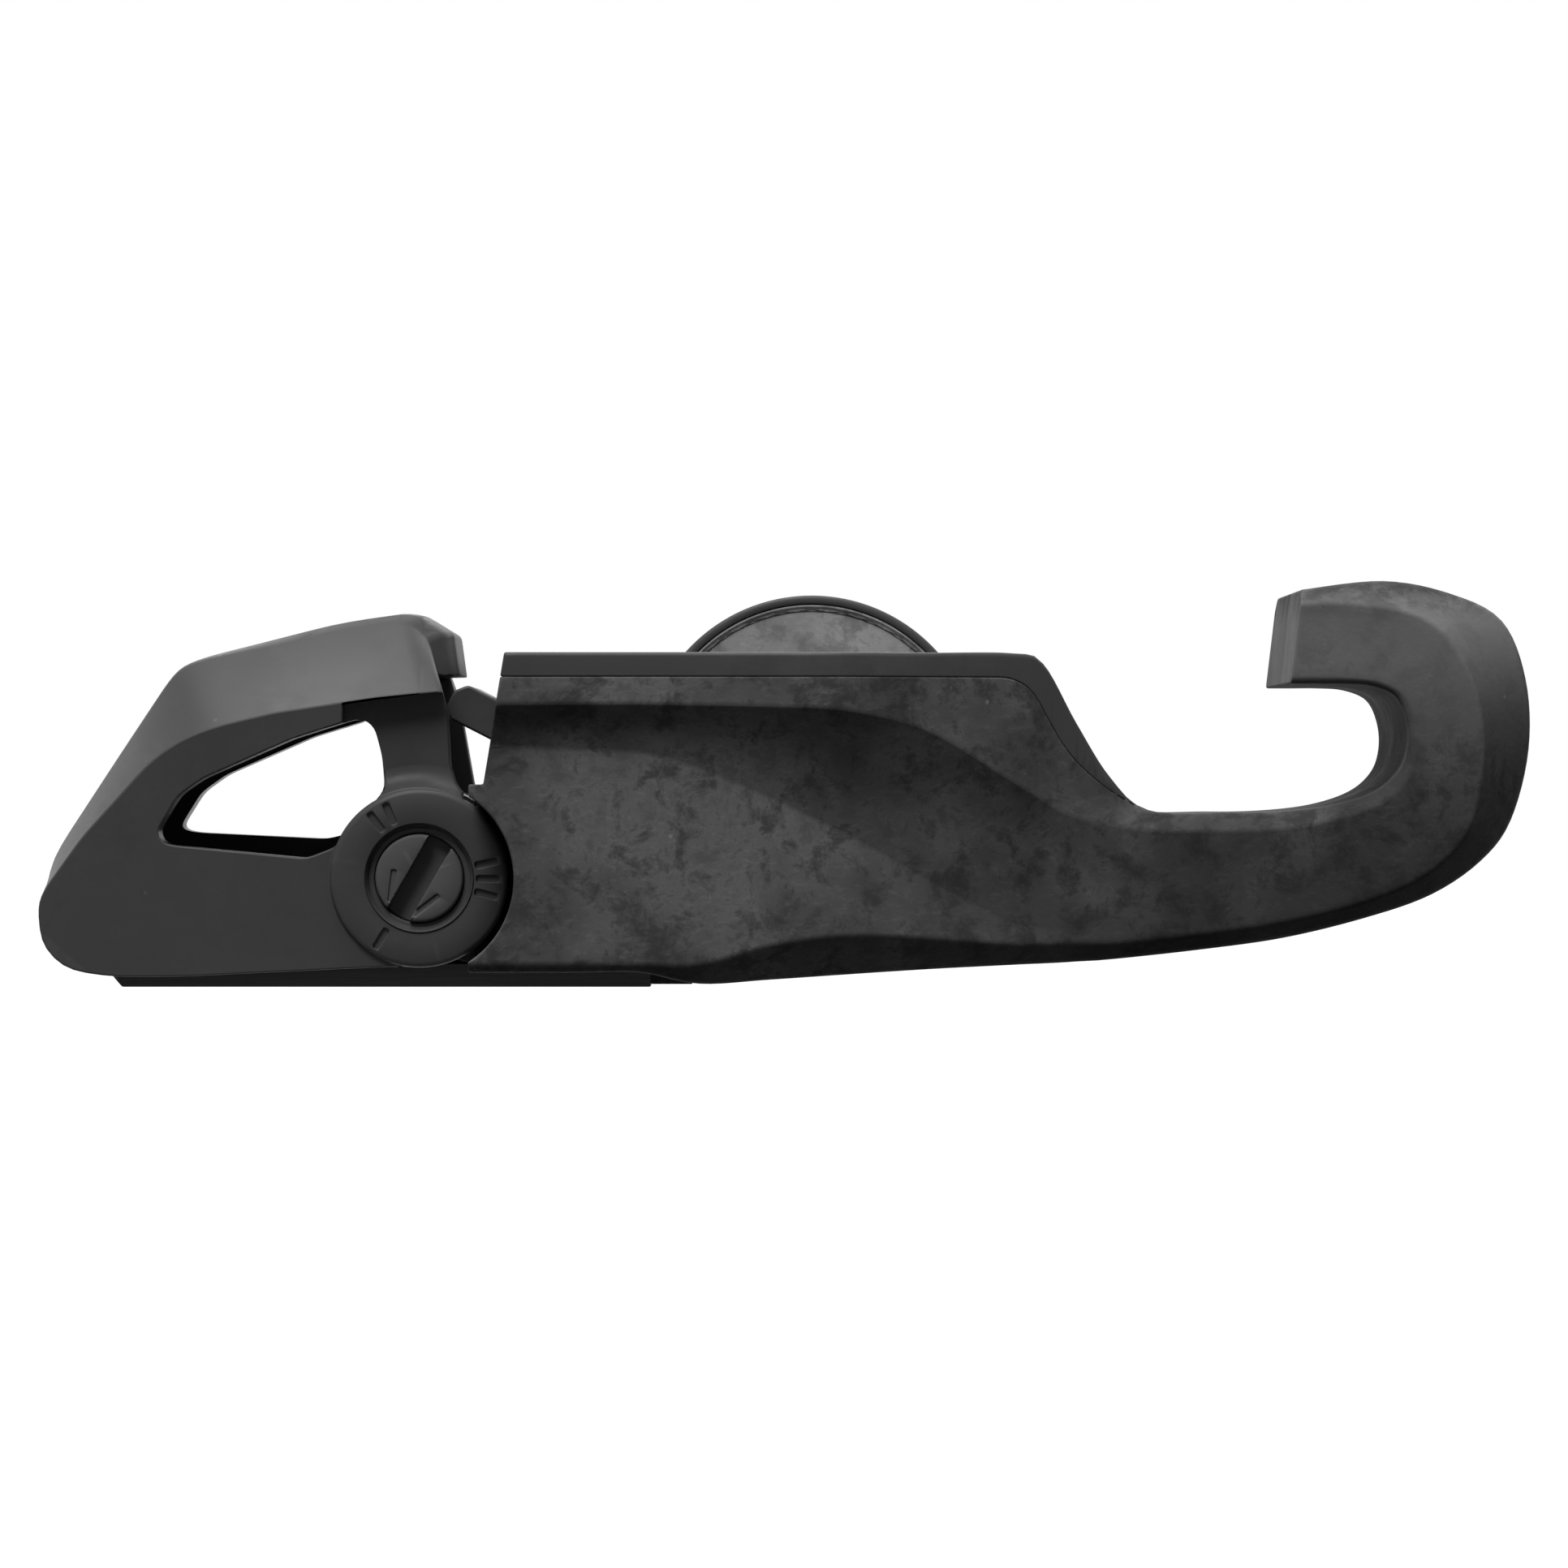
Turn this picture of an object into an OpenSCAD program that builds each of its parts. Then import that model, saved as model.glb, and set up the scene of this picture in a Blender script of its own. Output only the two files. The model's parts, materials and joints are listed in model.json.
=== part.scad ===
// Road clipless pedal, right-hand side.
// X points forward, Y points in towards the crank, Z points up.
// The origin is where the spindle axis meets the crank face.

/* [Placement] */
// Distance from the crank face out to the middle of the cleat
cleat_line = 53; // [51:0.5:55]
// Gap between the crank face and the axle boss
crank_gap = 13.5; // [12:0.5:15]

/* [Platform] */
// Height of the platform above the spindle axis
platform_top = 7.7; // [7.5:0.1:8.5]
// Half width of the platform
platform_half = 26; // [24.5:0.5:27.5]
// Distance from the spindle axis back to the platform's rear edge
platform_back = 21.6; // [21:0.2:22.6]
// Thickness of the contact plate at its edge
plate_thick = 1.7; // [1.5:0.1:1.9]
// Height of the pad that locates the contact plate
plate_recess = 0.5; // [0.3:0.1:0.7]
// Radius of the contact plate's screws
plate_screw_r = 1.25; // [1:0.05:1.5]
// Length of the contact plate's screws
plate_screw_length = 6; // [5:0.5:7]

/* [Front arm and hook] */
// Half width of the front arm and the hook
arm_half = 17; // [16:0.5:18]
// Width of the chamfer along the arm's edges
arm_chamfer = 1.2; // [0.8:0.1:1.5]
// Distance from the spindle axis forward to the hook's nose
hook_reach = 51.1; // [50.1:0.2:52.1]
// Height of the hook's underside above the spindle axis
hook_height = 5.6; // [5.2:0.1:6]

/* [Axle boss] */
// Radius of the round boss at the crank side
boss_r = 12.75; // [12.4:0.05:13.2]
// Length of the boss along the spindle
boss_length = 10.5; // [10:0.5:11]
// Chamfer round the boss
boss_chamfer = 0.6; // [0.4:0.1:0.8]

/* [Spindle] */
// Major radius of the spindle's thread
thread_r = 7.144; // [6.5:0.01:7.5]
// Length of the spindle's thread
thread_length = 12.5; // [11:0.5:14]
// Radius of the shoulder that seats on the crank
shoulder_r = 9; // [8.5:0.1:9.5]
// Width across the flats of the hex socket
hex_flats = 8; // [6:1:8]
// Depth of the hex socket
hex_depth = 8; // [6:0.5:10]
// Radius of the long bore inside the hollow spindle
hollow_r = 1.6; // [1.2:0.1:1.8]

/* [Bearings] */
// Bore radius of the inboard bearing
inboard_bore = 6; // [5.8:0.1:6.2]
// Outer radius of the inboard bearing
inboard_outer = 10.5; // [10.3:0.1:10.6]
// Width of the inboard bearing
inboard_width = 5; // [4.6:0.2:5.2]
// Bore radius of the outboard bearing
outboard_bore = 3; // [2.8:0.1:3.2]
// Outer radius of the outboard bearing
outboard_outer = 5; // [4.9:0.05:5.1]
// Width of the outboard bearing
outboard_width = 3; // [2.6:0.2:3.4]
// Number of balls in each bearing
ball_count = 13; // [9:1:13]
// Length of the locking collar
collar_length = 3; // [2.6:0.2:3.2]

/* [Rear arm] */
// Distance from the platform's rear edge back to the rear arm's pivot
pivot_setback = 6.15; // [6:0.05:6.4]
// Depth of the rear arm's pivot below the spindle axis
pivot_drop = 8.1; // [7.7:0.1:8.3]
// Half width of the rear arm
claw_half = 17; // [16.4:0.2:17.6]
// Thickness of each cheek of the rear arm
cheek_thick = 4.5; // [4.1:0.1:4.9]
// Radius of the round bosses at the pivot
cheek_boss_r = 6.3; // [6.2:0.05:6.4]
// How far the rear arm swings open, in degrees
arm_swing = 18; // [14:1:20]

/* [Tension adjuster] */
// Radius of the adjuster axle
axle_r = 2.5; // [2.3:0.1:2.7]
// Radius of the adjuster's slotted head
head_r = 3.1; // [3:0.05:3.3]
// Thickness of the adjuster's slotted head
head_thick = 1.6; // [1.4:0.1:1.8]
// Width of the screwdriver slot
slot_width = 1.8; // [1.4:0.1:2]
// Depth of the screwdriver slot
slot_depth = 0.9; // [0.7:0.1:1.1]
// Distance from the pivot to the cam's lowest flat
cam_low = 6.05; // [5.8:0.05:6.1]
// Growth of the cam from one setting to the next
cam_step = 0.15; // [0.05:0.05:0.15]
// Width of the cam
cam_width = 7.6; // [6.6:0.2:8.6]

/* [Leaf spring] */
// Thickness of the leaf spring
leaf_thick = 1.7; // [1.4:0.1:2]
// Half width of the leaf spring
leaf_half = 10.5; // [10:0.25:11]
// Distance from the pivot forward to the leaf's front end
leaf_front = 15.9; // [15:0.3:17]
// Distance from the pivot back to the leaf's tail
leaf_tail = 21.7; // [20.5:0.3:22]
// Radius of the leaf's screws
leaf_screw_r = 2; // [1.5:0.1:2.2]

/* [Trigger] */
// Thickness of the trigger plate
trigger_thick = 2.45; // [2.2:0.05:2.6]
// Half width of the trigger plate
trigger_half = 9.5; // [9:0.25:9.75]
// Length of the trigger from its pin to its tip
trigger_length = 11.1; // [10.6:0.1:11.3]
// Slope of the trigger when the pedal is closed, in degrees
trigger_slope = 27; // [25:1:28]
// Radius of the trigger's pin
pin_r = 1.25; // [1:0.05:1.5]

/* [Hidden] */
$fn = 64;

// Clearances
running = 0.05;
seated = 0.02;
side_gap = 0.3;

// Places along the spindle, outboard being negative
mid_y = -cleat_line;
boss_in = -crank_gap;
boss_out = boss_in - boss_length;
inboard_face = boss_in - collar_length;
inboard_back = inboard_face - inboard_width;
outboard_face = mid_y - 4.5;
outboard_back = outboard_face - outboard_width;
washer_thick = 0.6;
nut_height = 3.4;
nut_flats = 7.4;
spindle_end = outboard_back - washer_thick - nut_height - 0.8;
tunnel_end = spindle_end - 1.5;

// Radii along the spindle
seal_seat_r = inboard_bore + 0.9;
shank_r = outboard_bore + 1.5;
shank_tip_r = outboard_bore + 0.7;
nut_thread_r = outboard_bore - 0.5;
collar_r = inboard_outer + 0.48;
collar_bore = seal_seat_r + 2;
tunnel_r = outboard_outer + seated;

// Pivots in the side view, as [forward, up]
pivot = [-platform_back - pivot_setback, -pivot_drop];
trigger_pivot = pivot + [11.75, 7.6];
leaf_top = pivot[1] - cam_low - running;
sole = leaf_top - leaf_thick;
body_foot = leaf_top - 0.4;
lug_r = 5.3;
lug_half = claw_half - cheek_thick - 0.6;
pivot_gap = 0.55;
shelf_drop = 6.6;

// Colours
composite = [0.2, 0.2, 0.2];
smooth_black = [0.16, 0.16, 0.17];
steel = [0.6, 0.6, 0.62];
dark_steel = [0.25, 0.25, 0.27];
rubber = [0.08, 0.08, 0.08];

// ---------------------------------------------------------------- helpers

// Turns a shape that stands along Z so that it stands along Y
module along_y(x = 0, y = 0, z = 0) translate([x, y, z]) rotate([-90, 0, 0]) children();

// A side-view outline made solid between two places across the pedal
module side_slab(y_from, y_to) along_y(0, y_from) linear_extrude(y_to - y_from) mirror([0, 1]) children();

// The same slab on both sides of the cleat's line, from half width a to half width b
module both_sides(a, b) {
    side_slab(mid_y - b, mid_y - a) children();
    side_slab(mid_y + a, mid_y + b) children();
}

// A pin across the pedal at a place in the side view
module cross_pin(place, r, y_from, y_to) along_y(place[0], y_from, place[1]) cylinder(r = r, h = y_to - y_from);

// A ring about the spindle's axis between two radii and two places
module ring(r_in, r_out, y_from, y_to) along_y(0, y_from) difference() {
    cylinder(r = r_out, h = y_to - y_from);
    translate([0, 0, -1]) cylinder(r = r_in, h = y_to - y_from + 2);
}

// Point k of a smooth curve through the rows p, k running from 0 to the number of rows less one
function smooth(p, k) = let (
    n = len(p) - 1, i = min(floor(k), n - 1), t = k - i,
    a = p[max(i - 1, 0)], b = p[i], c = p[i + 1], d = p[min(i + 2, n)]
) 0.5 * (2 * b + (c - a) * t + (2 * a - 5 * b + 4 * c - d) * t * t + (3 * b - a - 3 * c + d) * t * t * t);

// Rows with extra ones between them on the smooth curve
function smoothed(p, steps) = [for (j = [0 : (len(p) - 1) * steps]) smooth(p, j / steps)];

// A closed solid through rings of points, each ring with as many points as the next
module loft(rings) {
    count = len(rings[0]);
    last = len(rings) - 1;
    sides = [for (k = [0 : last - 1], i = [0 : count - 1]) let (j = (i + 1) % count)
        each [[k * count + i, k * count + j, (k + 1) * count + j],
              [k * count + i, (k + 1) * count + j, (k + 1) * count + i]]];
    // Each end is a ladder of triangles, because an end may be hollow-flanked
    far = [for (i = [0 : count / 2 - 2]) let (a = last * count) each [
        [a + i, a + i + 1, a + count - 2 - i], [a + i, a + count - 2 - i, a + count - 1 - i]
    ]];
    near = [for (t = far) [for (i = [2 : -1 : 0]) t[i] - last * count]];
    polyhedron([for (r = rings) each r], concat(near, sides, far), convexity = 8);
}

// ---------------------------------------------------------------- pedal body

// The body's skin runs through ribs. Each rib is the section from a point on the top line
// to a point on the bottom line, with three edges on its flank. Its columns are
//   top x, top z, bottom x, bottom z,
//   then for the lip's edge, the panel's upper edge and the panel's lower edge
//   the share of the way down and the share of the platform's flare,
//   then how far the top and bottom edges are drawn in.
flare = platform_half - arm_half;
top = platform_top;
chamfer = arm_chamfer;
function share(from, to, z) = (from - z) / (from - to);
function upright(x, low, z1, f1, z2, f2, z3, f3, foot) =
    [x, top, x, low, share(top, low, z1), f1, share(top, low, z2), f2, share(top, low, z3), f3, 0.2, foot];
body_rear = pivot[0] + 2.9;
straight_ribs = [
    upright(body_rear, body_foot, 4.1, 1, 1.4, 0.84, -14, 0.95, 0.5),
    upright(-12.1, body_foot, 4.15, 1, 0.8, 0.82, -14.05, 0.94, 0.6),
    upright(-8, sole + 0.5, 4.1, 1, -0.3, 0.78, -14.05, 0.92, 6),
    upright(-3, sole + 0.76, 4, 1, -2.4, 0.7, -12.7, 0.86, 7.6),
    upright(2.4, sole + 1.1, 3.7, 1, -5, 0.58, -12, 0.76, 7.6),
    upright(8, sole + 1.42, 2.3, 0.7, -8.1, 0.4, -12.3, 0.49, 5.6),
    upright(13.6, sole + 1.68, -1.2, 0.4, -11.2, 0.16, -12.8, 0.2, 3.8)
];
hook = hook_height;
nose = hook_reach;
bent_ribs = [
    [13.6, top, 13.6, sole + 1.68, share(top, sole + 1.68, -1.2), 0.4, 0.864, 0.16, 0.938, 0.2, 0.2, 3.8],
    [15.7, top - 0.7, 15.2, -14.17, 0.44, 0.28, 0.87, 0.1, 0.935, 0.12, 0.3, 3],
    [18.1, top - 4.9, 17, -14.1, 0.378, 0.15, 0.85, 0.04, 0.92, 0.05, 0.4, 2],
    [20.5, -1, 18.7, -14, 0.248, 0.06, 0.82, 0, 0.9, 0, 0.5, 1.4],
    [23.3, -3.3, 21, -13.85, 0.13, 0, 0.7, 0, 0.89, 0, chamfer, chamfer],
    [29, -3.4, 27, -13.2, 0.13, 0, 0.6, 0, 0.88, 0, chamfer, chamfer],
    [33.3, -3.1, 33.1, -12.35, 0.13, 0, 0.6, 0, 0.87, 0, chamfer, 1.5],
    [36.6, -2.5, 38.9, -10.95, 0.11, 0, 0.6, 0, 0.86, 0, chamfer, 2],
    [39.2, -1.7, nose - 7.4, -9.3, 0.1, 0, 0.55, 0, 0.82, 0, 0.9, 3.4],
    [40.7, -0.5, nose - 3.8, -6.9, 0.08, 0, 0.45, 0, 0.75, 0, 0.6, 5.5],
    [41.3, 1.1, nose - 1.6, -4, 0.06, 0, 0.4, 0, 0.66, 0, 0.4, 7.5],
    [41.2, 3, nose - 0.1, 1, 0.06, 0, 0.35, 0, 0.6, 0, 0.3, 8.5],
    [40.4, hook - 0.8, nose - 0.5, 6, 0.05, 0, 0.3, 0, 0.58, 0, 0.3, 8.5],
    [38.9, hook, nose - 2.3, 10.5, 0.05, 0, 0.25, 0, 0.6, 0, 0.3, 8],
    [37.2, hook, nose - 5.4, 12, 0.05, 0, 0.4, 0, 0.72, 0, 0.3, 7],
    [35.4, hook, 40.2, 13.1, 0.05, 0, 0.5, 0, 0.74, 0, 0.3, 6],
    [33.6, hook, 34.4, 12, 0.05, 0, 0.6, 0, 0.94, 0, 0.3, 3]
];
crown = 0.25;
function rib_ring(r) = let (
    high = [r[0], r[1]], low = [r[2], r[3]],
    half = [for (i = [5, 7, 9]) arm_half + flare * r[i]],
    flank = [[0, half[0] - r[10]], [r[4], half[0]], [r[6], half[1]], [r[8], half[2]], [1, half[2] - r[11]]],
    right = [for (f = flank) let (p = high + (low - high) * f[0]) [p[0], mid_y + f[1], p[1]]],
    left = [for (i = [4 : -1 : 0]) [right[i][0], 2 * mid_y - right[i][1], right[i][2]]]
) concat(right, left);

module body_skin() loft([
    for (r = straight_ribs) rib_ring(r),
    for (k = [1 : (len(bent_ribs) - 1) * 3]) rib_ring(smooth(bent_ribs, k / 3))
]);

// The band of the skin that belongs to the contact plate: the flat, then the ramp down to the arm
module plate_band() {
    under = top - plate_thick;
    side_slab(mid_y - 40, mid_y + 40) polygon([
        [-40, 20], [-40, under], [13.6, under], [15, under - 0.9], [17.2, under - 5],
        [19.4, -1.2], [22.9, -3.4], [26, -2], [26, 20]
    ]);
    // Pad that locates the plate, clear of the spindle's tunnel
    translate([-platform_back + 1.2, mid_y - platform_half + 3, under - plate_recess])
        cube([platform_back - 8, 2 * platform_half - 6, plate_recess + 0.5]);
}

// The parts of the skin that the rear of the pedal leaves open
module rear_space() {
    lean = 1.5;
    shelf = pivot[1] + shelf_drop;
    side_slab(mid_y - 40, mid_y + 40) polygon([
        [-60, 20], [-platform_back, 20], [-platform_back, top], [-platform_back - lean, shelf], [-60, shelf]
    ]);
    both_sides(lug_half, platform_half + 5)
        translate(pivot) circle(r = cheek_boss_r + pivot_gap);
}

// The pocket under the contact plate that holds the trigger
pocket_half = trigger_half + side_gap;
knuckle_r = pin_r + 1.1;
spring_leg = 4.6;
module trigger_pocket() {
    floor_z = trigger_pivot[1] - knuckle_r - side_gap;
    front = trigger_pivot[0] + spring_leg;
    side_slab(mid_y - pocket_half, mid_y + pocket_half)
        polygon([[-60, top], [front, top], [front, floor_z], [-60, floor_z]]);
}

// The lug between the rear arm's cheeks
module lug() {
    cross_pin(pivot, lug_r, mid_y - lug_half, mid_y + lug_half);
    side_slab(mid_y - lug_half, mid_y + lug_half) translate(pivot)
        polygon([[0, lug_r], [8, lug_r - 0.6], [8, -5.9], [0, -lug_r]]);
}

module cam_slot() side_slab(mid_y - cam_width / 2 - side_gap, mid_y + cam_width / 2 + side_gap)
    translate(pivot) circle(r = cam_low + 3 * cam_step + 0.25);

// Screw places, in the plan view from the cleat's line
plate_screw_places = [[-platform_back + 3.2, platform_half - 6.5], [9, platform_half - 9.5]];
leaf_screw_places = [[pivot[0] + 11.4, 6]];
module at_places(places, z) for (p = places, side = [-1, 1]) translate([p[0], mid_y + side * p[1], z]) children();

bush_r = axle_r + 1;

module pedal_body() color(composite) difference() {
    union() {
        difference() {
            union() {
                body_skin();
                // Housing round the spindle
                cross_pin([0, 0], boss_r - 1.2, boss_out - 14, boss_out);
            }
            plate_band();
            rear_space();
        }
        lug();
        // Keel that ends flush with the leaf spring
        translate([pivot[0] + leaf_front + side_gap, mid_y - leaf_half, sole + 0.2]) cube([3, 2 * leaf_half, 3]);
        // Boss with its chamfers
        along_y(0, boss_out) rotate_extrude() polygon([
            [0, 0], [boss_r - boss_chamfer - 0.5, 0], [boss_r - boss_chamfer - 0.35, 0.2],
            [boss_r - boss_chamfer - 0.2, 0], [boss_r - boss_chamfer, 0], [boss_r, boss_chamfer],
            [boss_r, boss_length - boss_chamfer], [boss_r - boss_chamfer, boss_length], [0, boss_length]
        ]);
    }
    trigger_pocket();
    cam_slot();
    // Seat of the leaf spring
    translate([-60, mid_y - leaf_half - side_gap, sole - 5])
        cube([60 + pivot[0] + leaf_front + side_gap, 2 * (leaf_half + side_gap), leaf_top - sole + 5]);
    // Bores for the collar, the inboard bearing and the tunnel
    cross_pin([0, 0], collar_r + seated, inboard_face, 1);
    cross_pin([0, 0], inboard_outer + seated, inboard_back, inboard_face + 1);
    cross_pin([0, 0], inboard_outer - 1.8, inboard_back - 2.4, inboard_back + 1);
    cross_pin([0, 0], tunnel_r, tunnel_end, inboard_back);
    // Bores for the bushes, the trigger's pin and the screws
    cross_pin(pivot, bush_r + seated, mid_y - 20, mid_y + 20);
    cross_pin(trigger_pivot, pin_r + seated, mid_y - pocket_half - 3.5, mid_y + pocket_half + 3.5);
    at_places(plate_screw_places, top - plate_screw_length - 0.5) cylinder(r = plate_screw_r + seated, h = 10);
    at_places(leaf_screw_places, sole) cylinder(r = leaf_screw_r + seated, h = 9.5);
}

module platform_plate() color(smooth_black) difference() {
    intersection() {
        body_skin();
        plate_band();
    }
    rear_space();
    at_places(plate_screw_places, top - 5) cylinder(r = plate_screw_r + running, h = 10);
    at_places(plate_screw_places, top - plate_screw_r - 0.25)
        cylinder(r1 = plate_screw_r + 0.07, r2 = 2 * plate_screw_r + 0.42, h = plate_screw_r + 0.35);
}

// A countersunk screw with its head up and its top at z = 0
module countersunk(r, length) difference() {
    rotate_extrude() polygon([[0, 0], [2 * r, 0], [2 * r, -0.1], [r, -r - 0.1], [r, -length], [0, -length]]);
    translate([0, 0, -r]) cylinder(r = r, h = 2 * r, $fn = 6);
}

module plate_screws() color(dark_steel)
    at_places(plate_screw_places, top - 0.15) countersunk(plate_screw_r, plate_screw_length - 0.5);

// ---------------------------------------------------------------- spindle and bearings

module spindle() color(steel) difference() {
    along_y() rotate_extrude() polygon([
        [0, thread_length], [thread_r - 1, thread_length], [thread_r, thread_length - 1],
        [thread_r, 0], [shoulder_r, 0], [shoulder_r, -1.6], [shoulder_r - 0.6, -2.2],
        [seal_seat_r, boss_in + 1], [seal_seat_r, inboard_face],
        [inboard_bore - 0.01, inboard_face], [inboard_bore - 0.01, inboard_back - 0.6],
        [shank_r, inboard_back - 2], [shank_tip_r, outboard_face],
        [outboard_bore - 0.01, outboard_face], [outboard_bore - 0.01, outboard_back],
        [nut_thread_r, outboard_back], [nut_thread_r, spindle_end + 0.4],
        [nut_thread_r - 0.4, spindle_end], [0, spindle_end]
    ]);
    cross_pin([0, 0], hollow_r, outboard_face, thread_length + 1);
    cross_pin([0, 0], hex_flats / sqrt(3), thread_length - hex_depth, thread_length + 1, $fn = 6);
}

// A ball bearing's sizes: bore, outer radius, inner and outer face, from which the rest follows
function race_gap(bore, outer) = (outer - bore) * 0.2;
function ball_r(bore, outer) = (outer - bore) * 0.27;
function pitch_r(bore, outer) = (bore + outer) / 2;

// One race, between the bore or the outer radius and the gap that the cage runs in
module race(bore, outer, y_from, y_to, inner) {
    pitch = pitch_r(bore, outer);
    gap = race_gap(bore, outer);
    along_y(0, y_from) rotate_extrude() difference() {
        translate([inner ? bore : pitch + gap, 0]) square([pitch - gap - bore, y_to - y_from]);
        translate([pitch, (y_to - y_from) / 2]) circle(r = ball_r(bore, outer) + running);
    }
}

module balls(bore, outer, y_from, y_to) for (i = [0 : ball_count - 1]) rotate([0, i * 360 / ball_count, 0])
    translate([pitch_r(bore, outer), (y_from + y_to) / 2, 0]) sphere(r = ball_r(bore, outer), $fn = 32);

module cage(bore, outer, y_from, y_to) {
    pitch = pitch_r(bore, outer);
    wall = race_gap(bore, outer) * 0.35;
    depth = (y_to - y_from) * 0.36;
    difference() {
        ring(pitch - wall, pitch + wall, (y_from + y_to) / 2 - depth, (y_from + y_to) / 2 + depth);
        for (i = [0 : ball_count - 1]) rotate([0, i * 360 / ball_count, 0])
            translate([pitch - 2 * wall, (y_from + y_to) / 2, 0]) rotate([0, 90, 0])
                cylinder(r = ball_r(bore, outer) + running, h = 4 * wall);
    }
}

module inboard_inner_race() color(steel) race(inboard_bore, inboard_outer, inboard_back, inboard_face, true);
module inboard_outer_race() color(steel) race(inboard_bore, inboard_outer, inboard_back, inboard_face, false);
module outboard_inner_race() color(steel) race(outboard_bore, outboard_outer, outboard_back, outboard_face, true);
module outboard_outer_race() color(steel) race(outboard_bore, outboard_outer, outboard_back, outboard_face, false);
module inboard_balls() color(steel) balls(inboard_bore, inboard_outer, inboard_back, inboard_face);
module outboard_balls() color(steel) balls(outboard_bore, outboard_outer, outboard_back, outboard_face);
module inboard_cage() color(dark_steel) cage(inboard_bore, inboard_outer, inboard_back, inboard_face);
module outboard_cage() color(dark_steel) cage(outboard_bore, outboard_outer, outboard_back, outboard_face);

washer_out = outboard_back - washer_thick;
module axle_washer() color(steel) ring(nut_thread_r + seated, outboard_bore + 0.7, washer_out, outboard_back);

module axle_locknut() color(steel) difference() {
    along_y(0, washer_out - nut_height) cylinder(r = nut_flats / sqrt(3), h = nut_height, $fn = 6);
    along_y(0, washer_out - nut_height - 1) cylinder(r = nut_thread_r + seated, h = nut_height + 2);
}

// Collar that screws into the boss, with four holes for a pin spanner
module lock_collar() color(dark_steel) difference() {
    ring(collar_bore, collar_r, inboard_face, boss_in);
    for (a = [45 : 90 : 315]) rotate([0, a, 0])
        cross_pin([(collar_bore + collar_r) / 2, 0], 0.6, boss_in - 1.4, boss_in + 1);
}

// Seal in the collar, thick at the rim and thin at the lip
module lip_seal() color(rubber) along_y(0, inboard_face) rotate_extrude() polygon([
    [seal_seat_r + running, 0.4], [seal_seat_r + running, 1], [collar_bore - 0.7, 1.6],
    [collar_bore - 0.7, collar_length - 0.9], [seal_seat_r + running, collar_length - 0.5],
    [seal_seat_r + running, collar_length - 0.2], [collar_bore, collar_length - 0.2], [collar_bore, 0.4]
]);

// ---------------------------------------------------------------- rear arm

// Outlines of the rear arm in the side view, from the pivot: across the middle and on the cheeks
crest_half = claw_half - 6.5;
middle_outline = [
    [2.5, 14.4], [2, 17.3], [-0.2, 18.6], [-1.4, 18.7], [-5.8, 18], [-15.6, 15.5], [-17.1, 14.8],
    [-17.9, 14], [-21.2, 9.2], [-26.3, 1.5], [-26.8, -0.5], [-26.9, -2.3], [-26.2, -4.6],
    [-24.5, -6.2], [-21.8, -6.9], [-17, -6.95], [-3.5, -6.3], [0, -6.2], [4, 0]
];
cheek_outline = [
    [1.8, 12.8], [1.5, 13.1], [-3.1, 12.6], [-10.3, 11.5], [-14.6, 10.5],
    [-17, 9.5], [-19, 8.1], [-21.6, 5.3], [-23.8, 2.9], [-25.2, 0.9], [-26.6, -1],
    [-26.9, -2.3], [-26.2, -4.6], [-24.5, -6.2], [-21.8, -6.9], [-17, -6.95], [-3.5, -6.3], [0, -6.2], [4, 0]
];
window_outline = [
    [-18.5, 3.3], [-18.1, 2.5], [-17.3, 2.3], [-8, 1.4], [-5.9, 2.2], [-3.2, 5.3], [-2.5, 6.3],
    [-2.7, 8.6], [-3.2, 10.5], [-3.8, 11.1], [-4.6, 11.2], [-9, 9.8], [-15.3, 7], [-17, 5.8]
];
// What the arm leaves open in front of its column, under the claw
front_notch = [[8, 12.8], [1.8, 12.8], [2.1, 8], [2.5, 6.6], [3.2, 5.7], [5, 4.2], [8, 4]];
// What it leaves open between its cheeks
hollow_outline = [
    [8, 14.4], [-0.8, 14.4], [-1.2, 15.2], [-8.7, 14.8], [-15.4, 13], [-18.5, 9.6], [-22.6, 3],
    [-23.6, -1], [-23.5, -12], [8, -12]
];
module from_pivot() translate(pivot) children();

module arm_blank() hull() {
    side_slab(mid_y - crest_half, mid_y + crest_half) from_pivot() polygon(middle_outline);
    side_slab(mid_y - claw_half, mid_y + claw_half) from_pivot() polygon(cheek_outline);
}

cheek_inner = claw_half - cheek_thick;
boss_proud = 0.5;
// Marks of the three settings round the head: a place on the dial and a number of strokes
dial_marks = [[240, 1], [120, 2], [0, 3]];
module dial_strokes() for (m = dial_marks, k = [1 : m[1]]) rotate(m[0] + (k - (m[1] + 1) / 2) * 13)
    translate([4.15, -0.17]) square([1.5, 0.34]);

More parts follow.
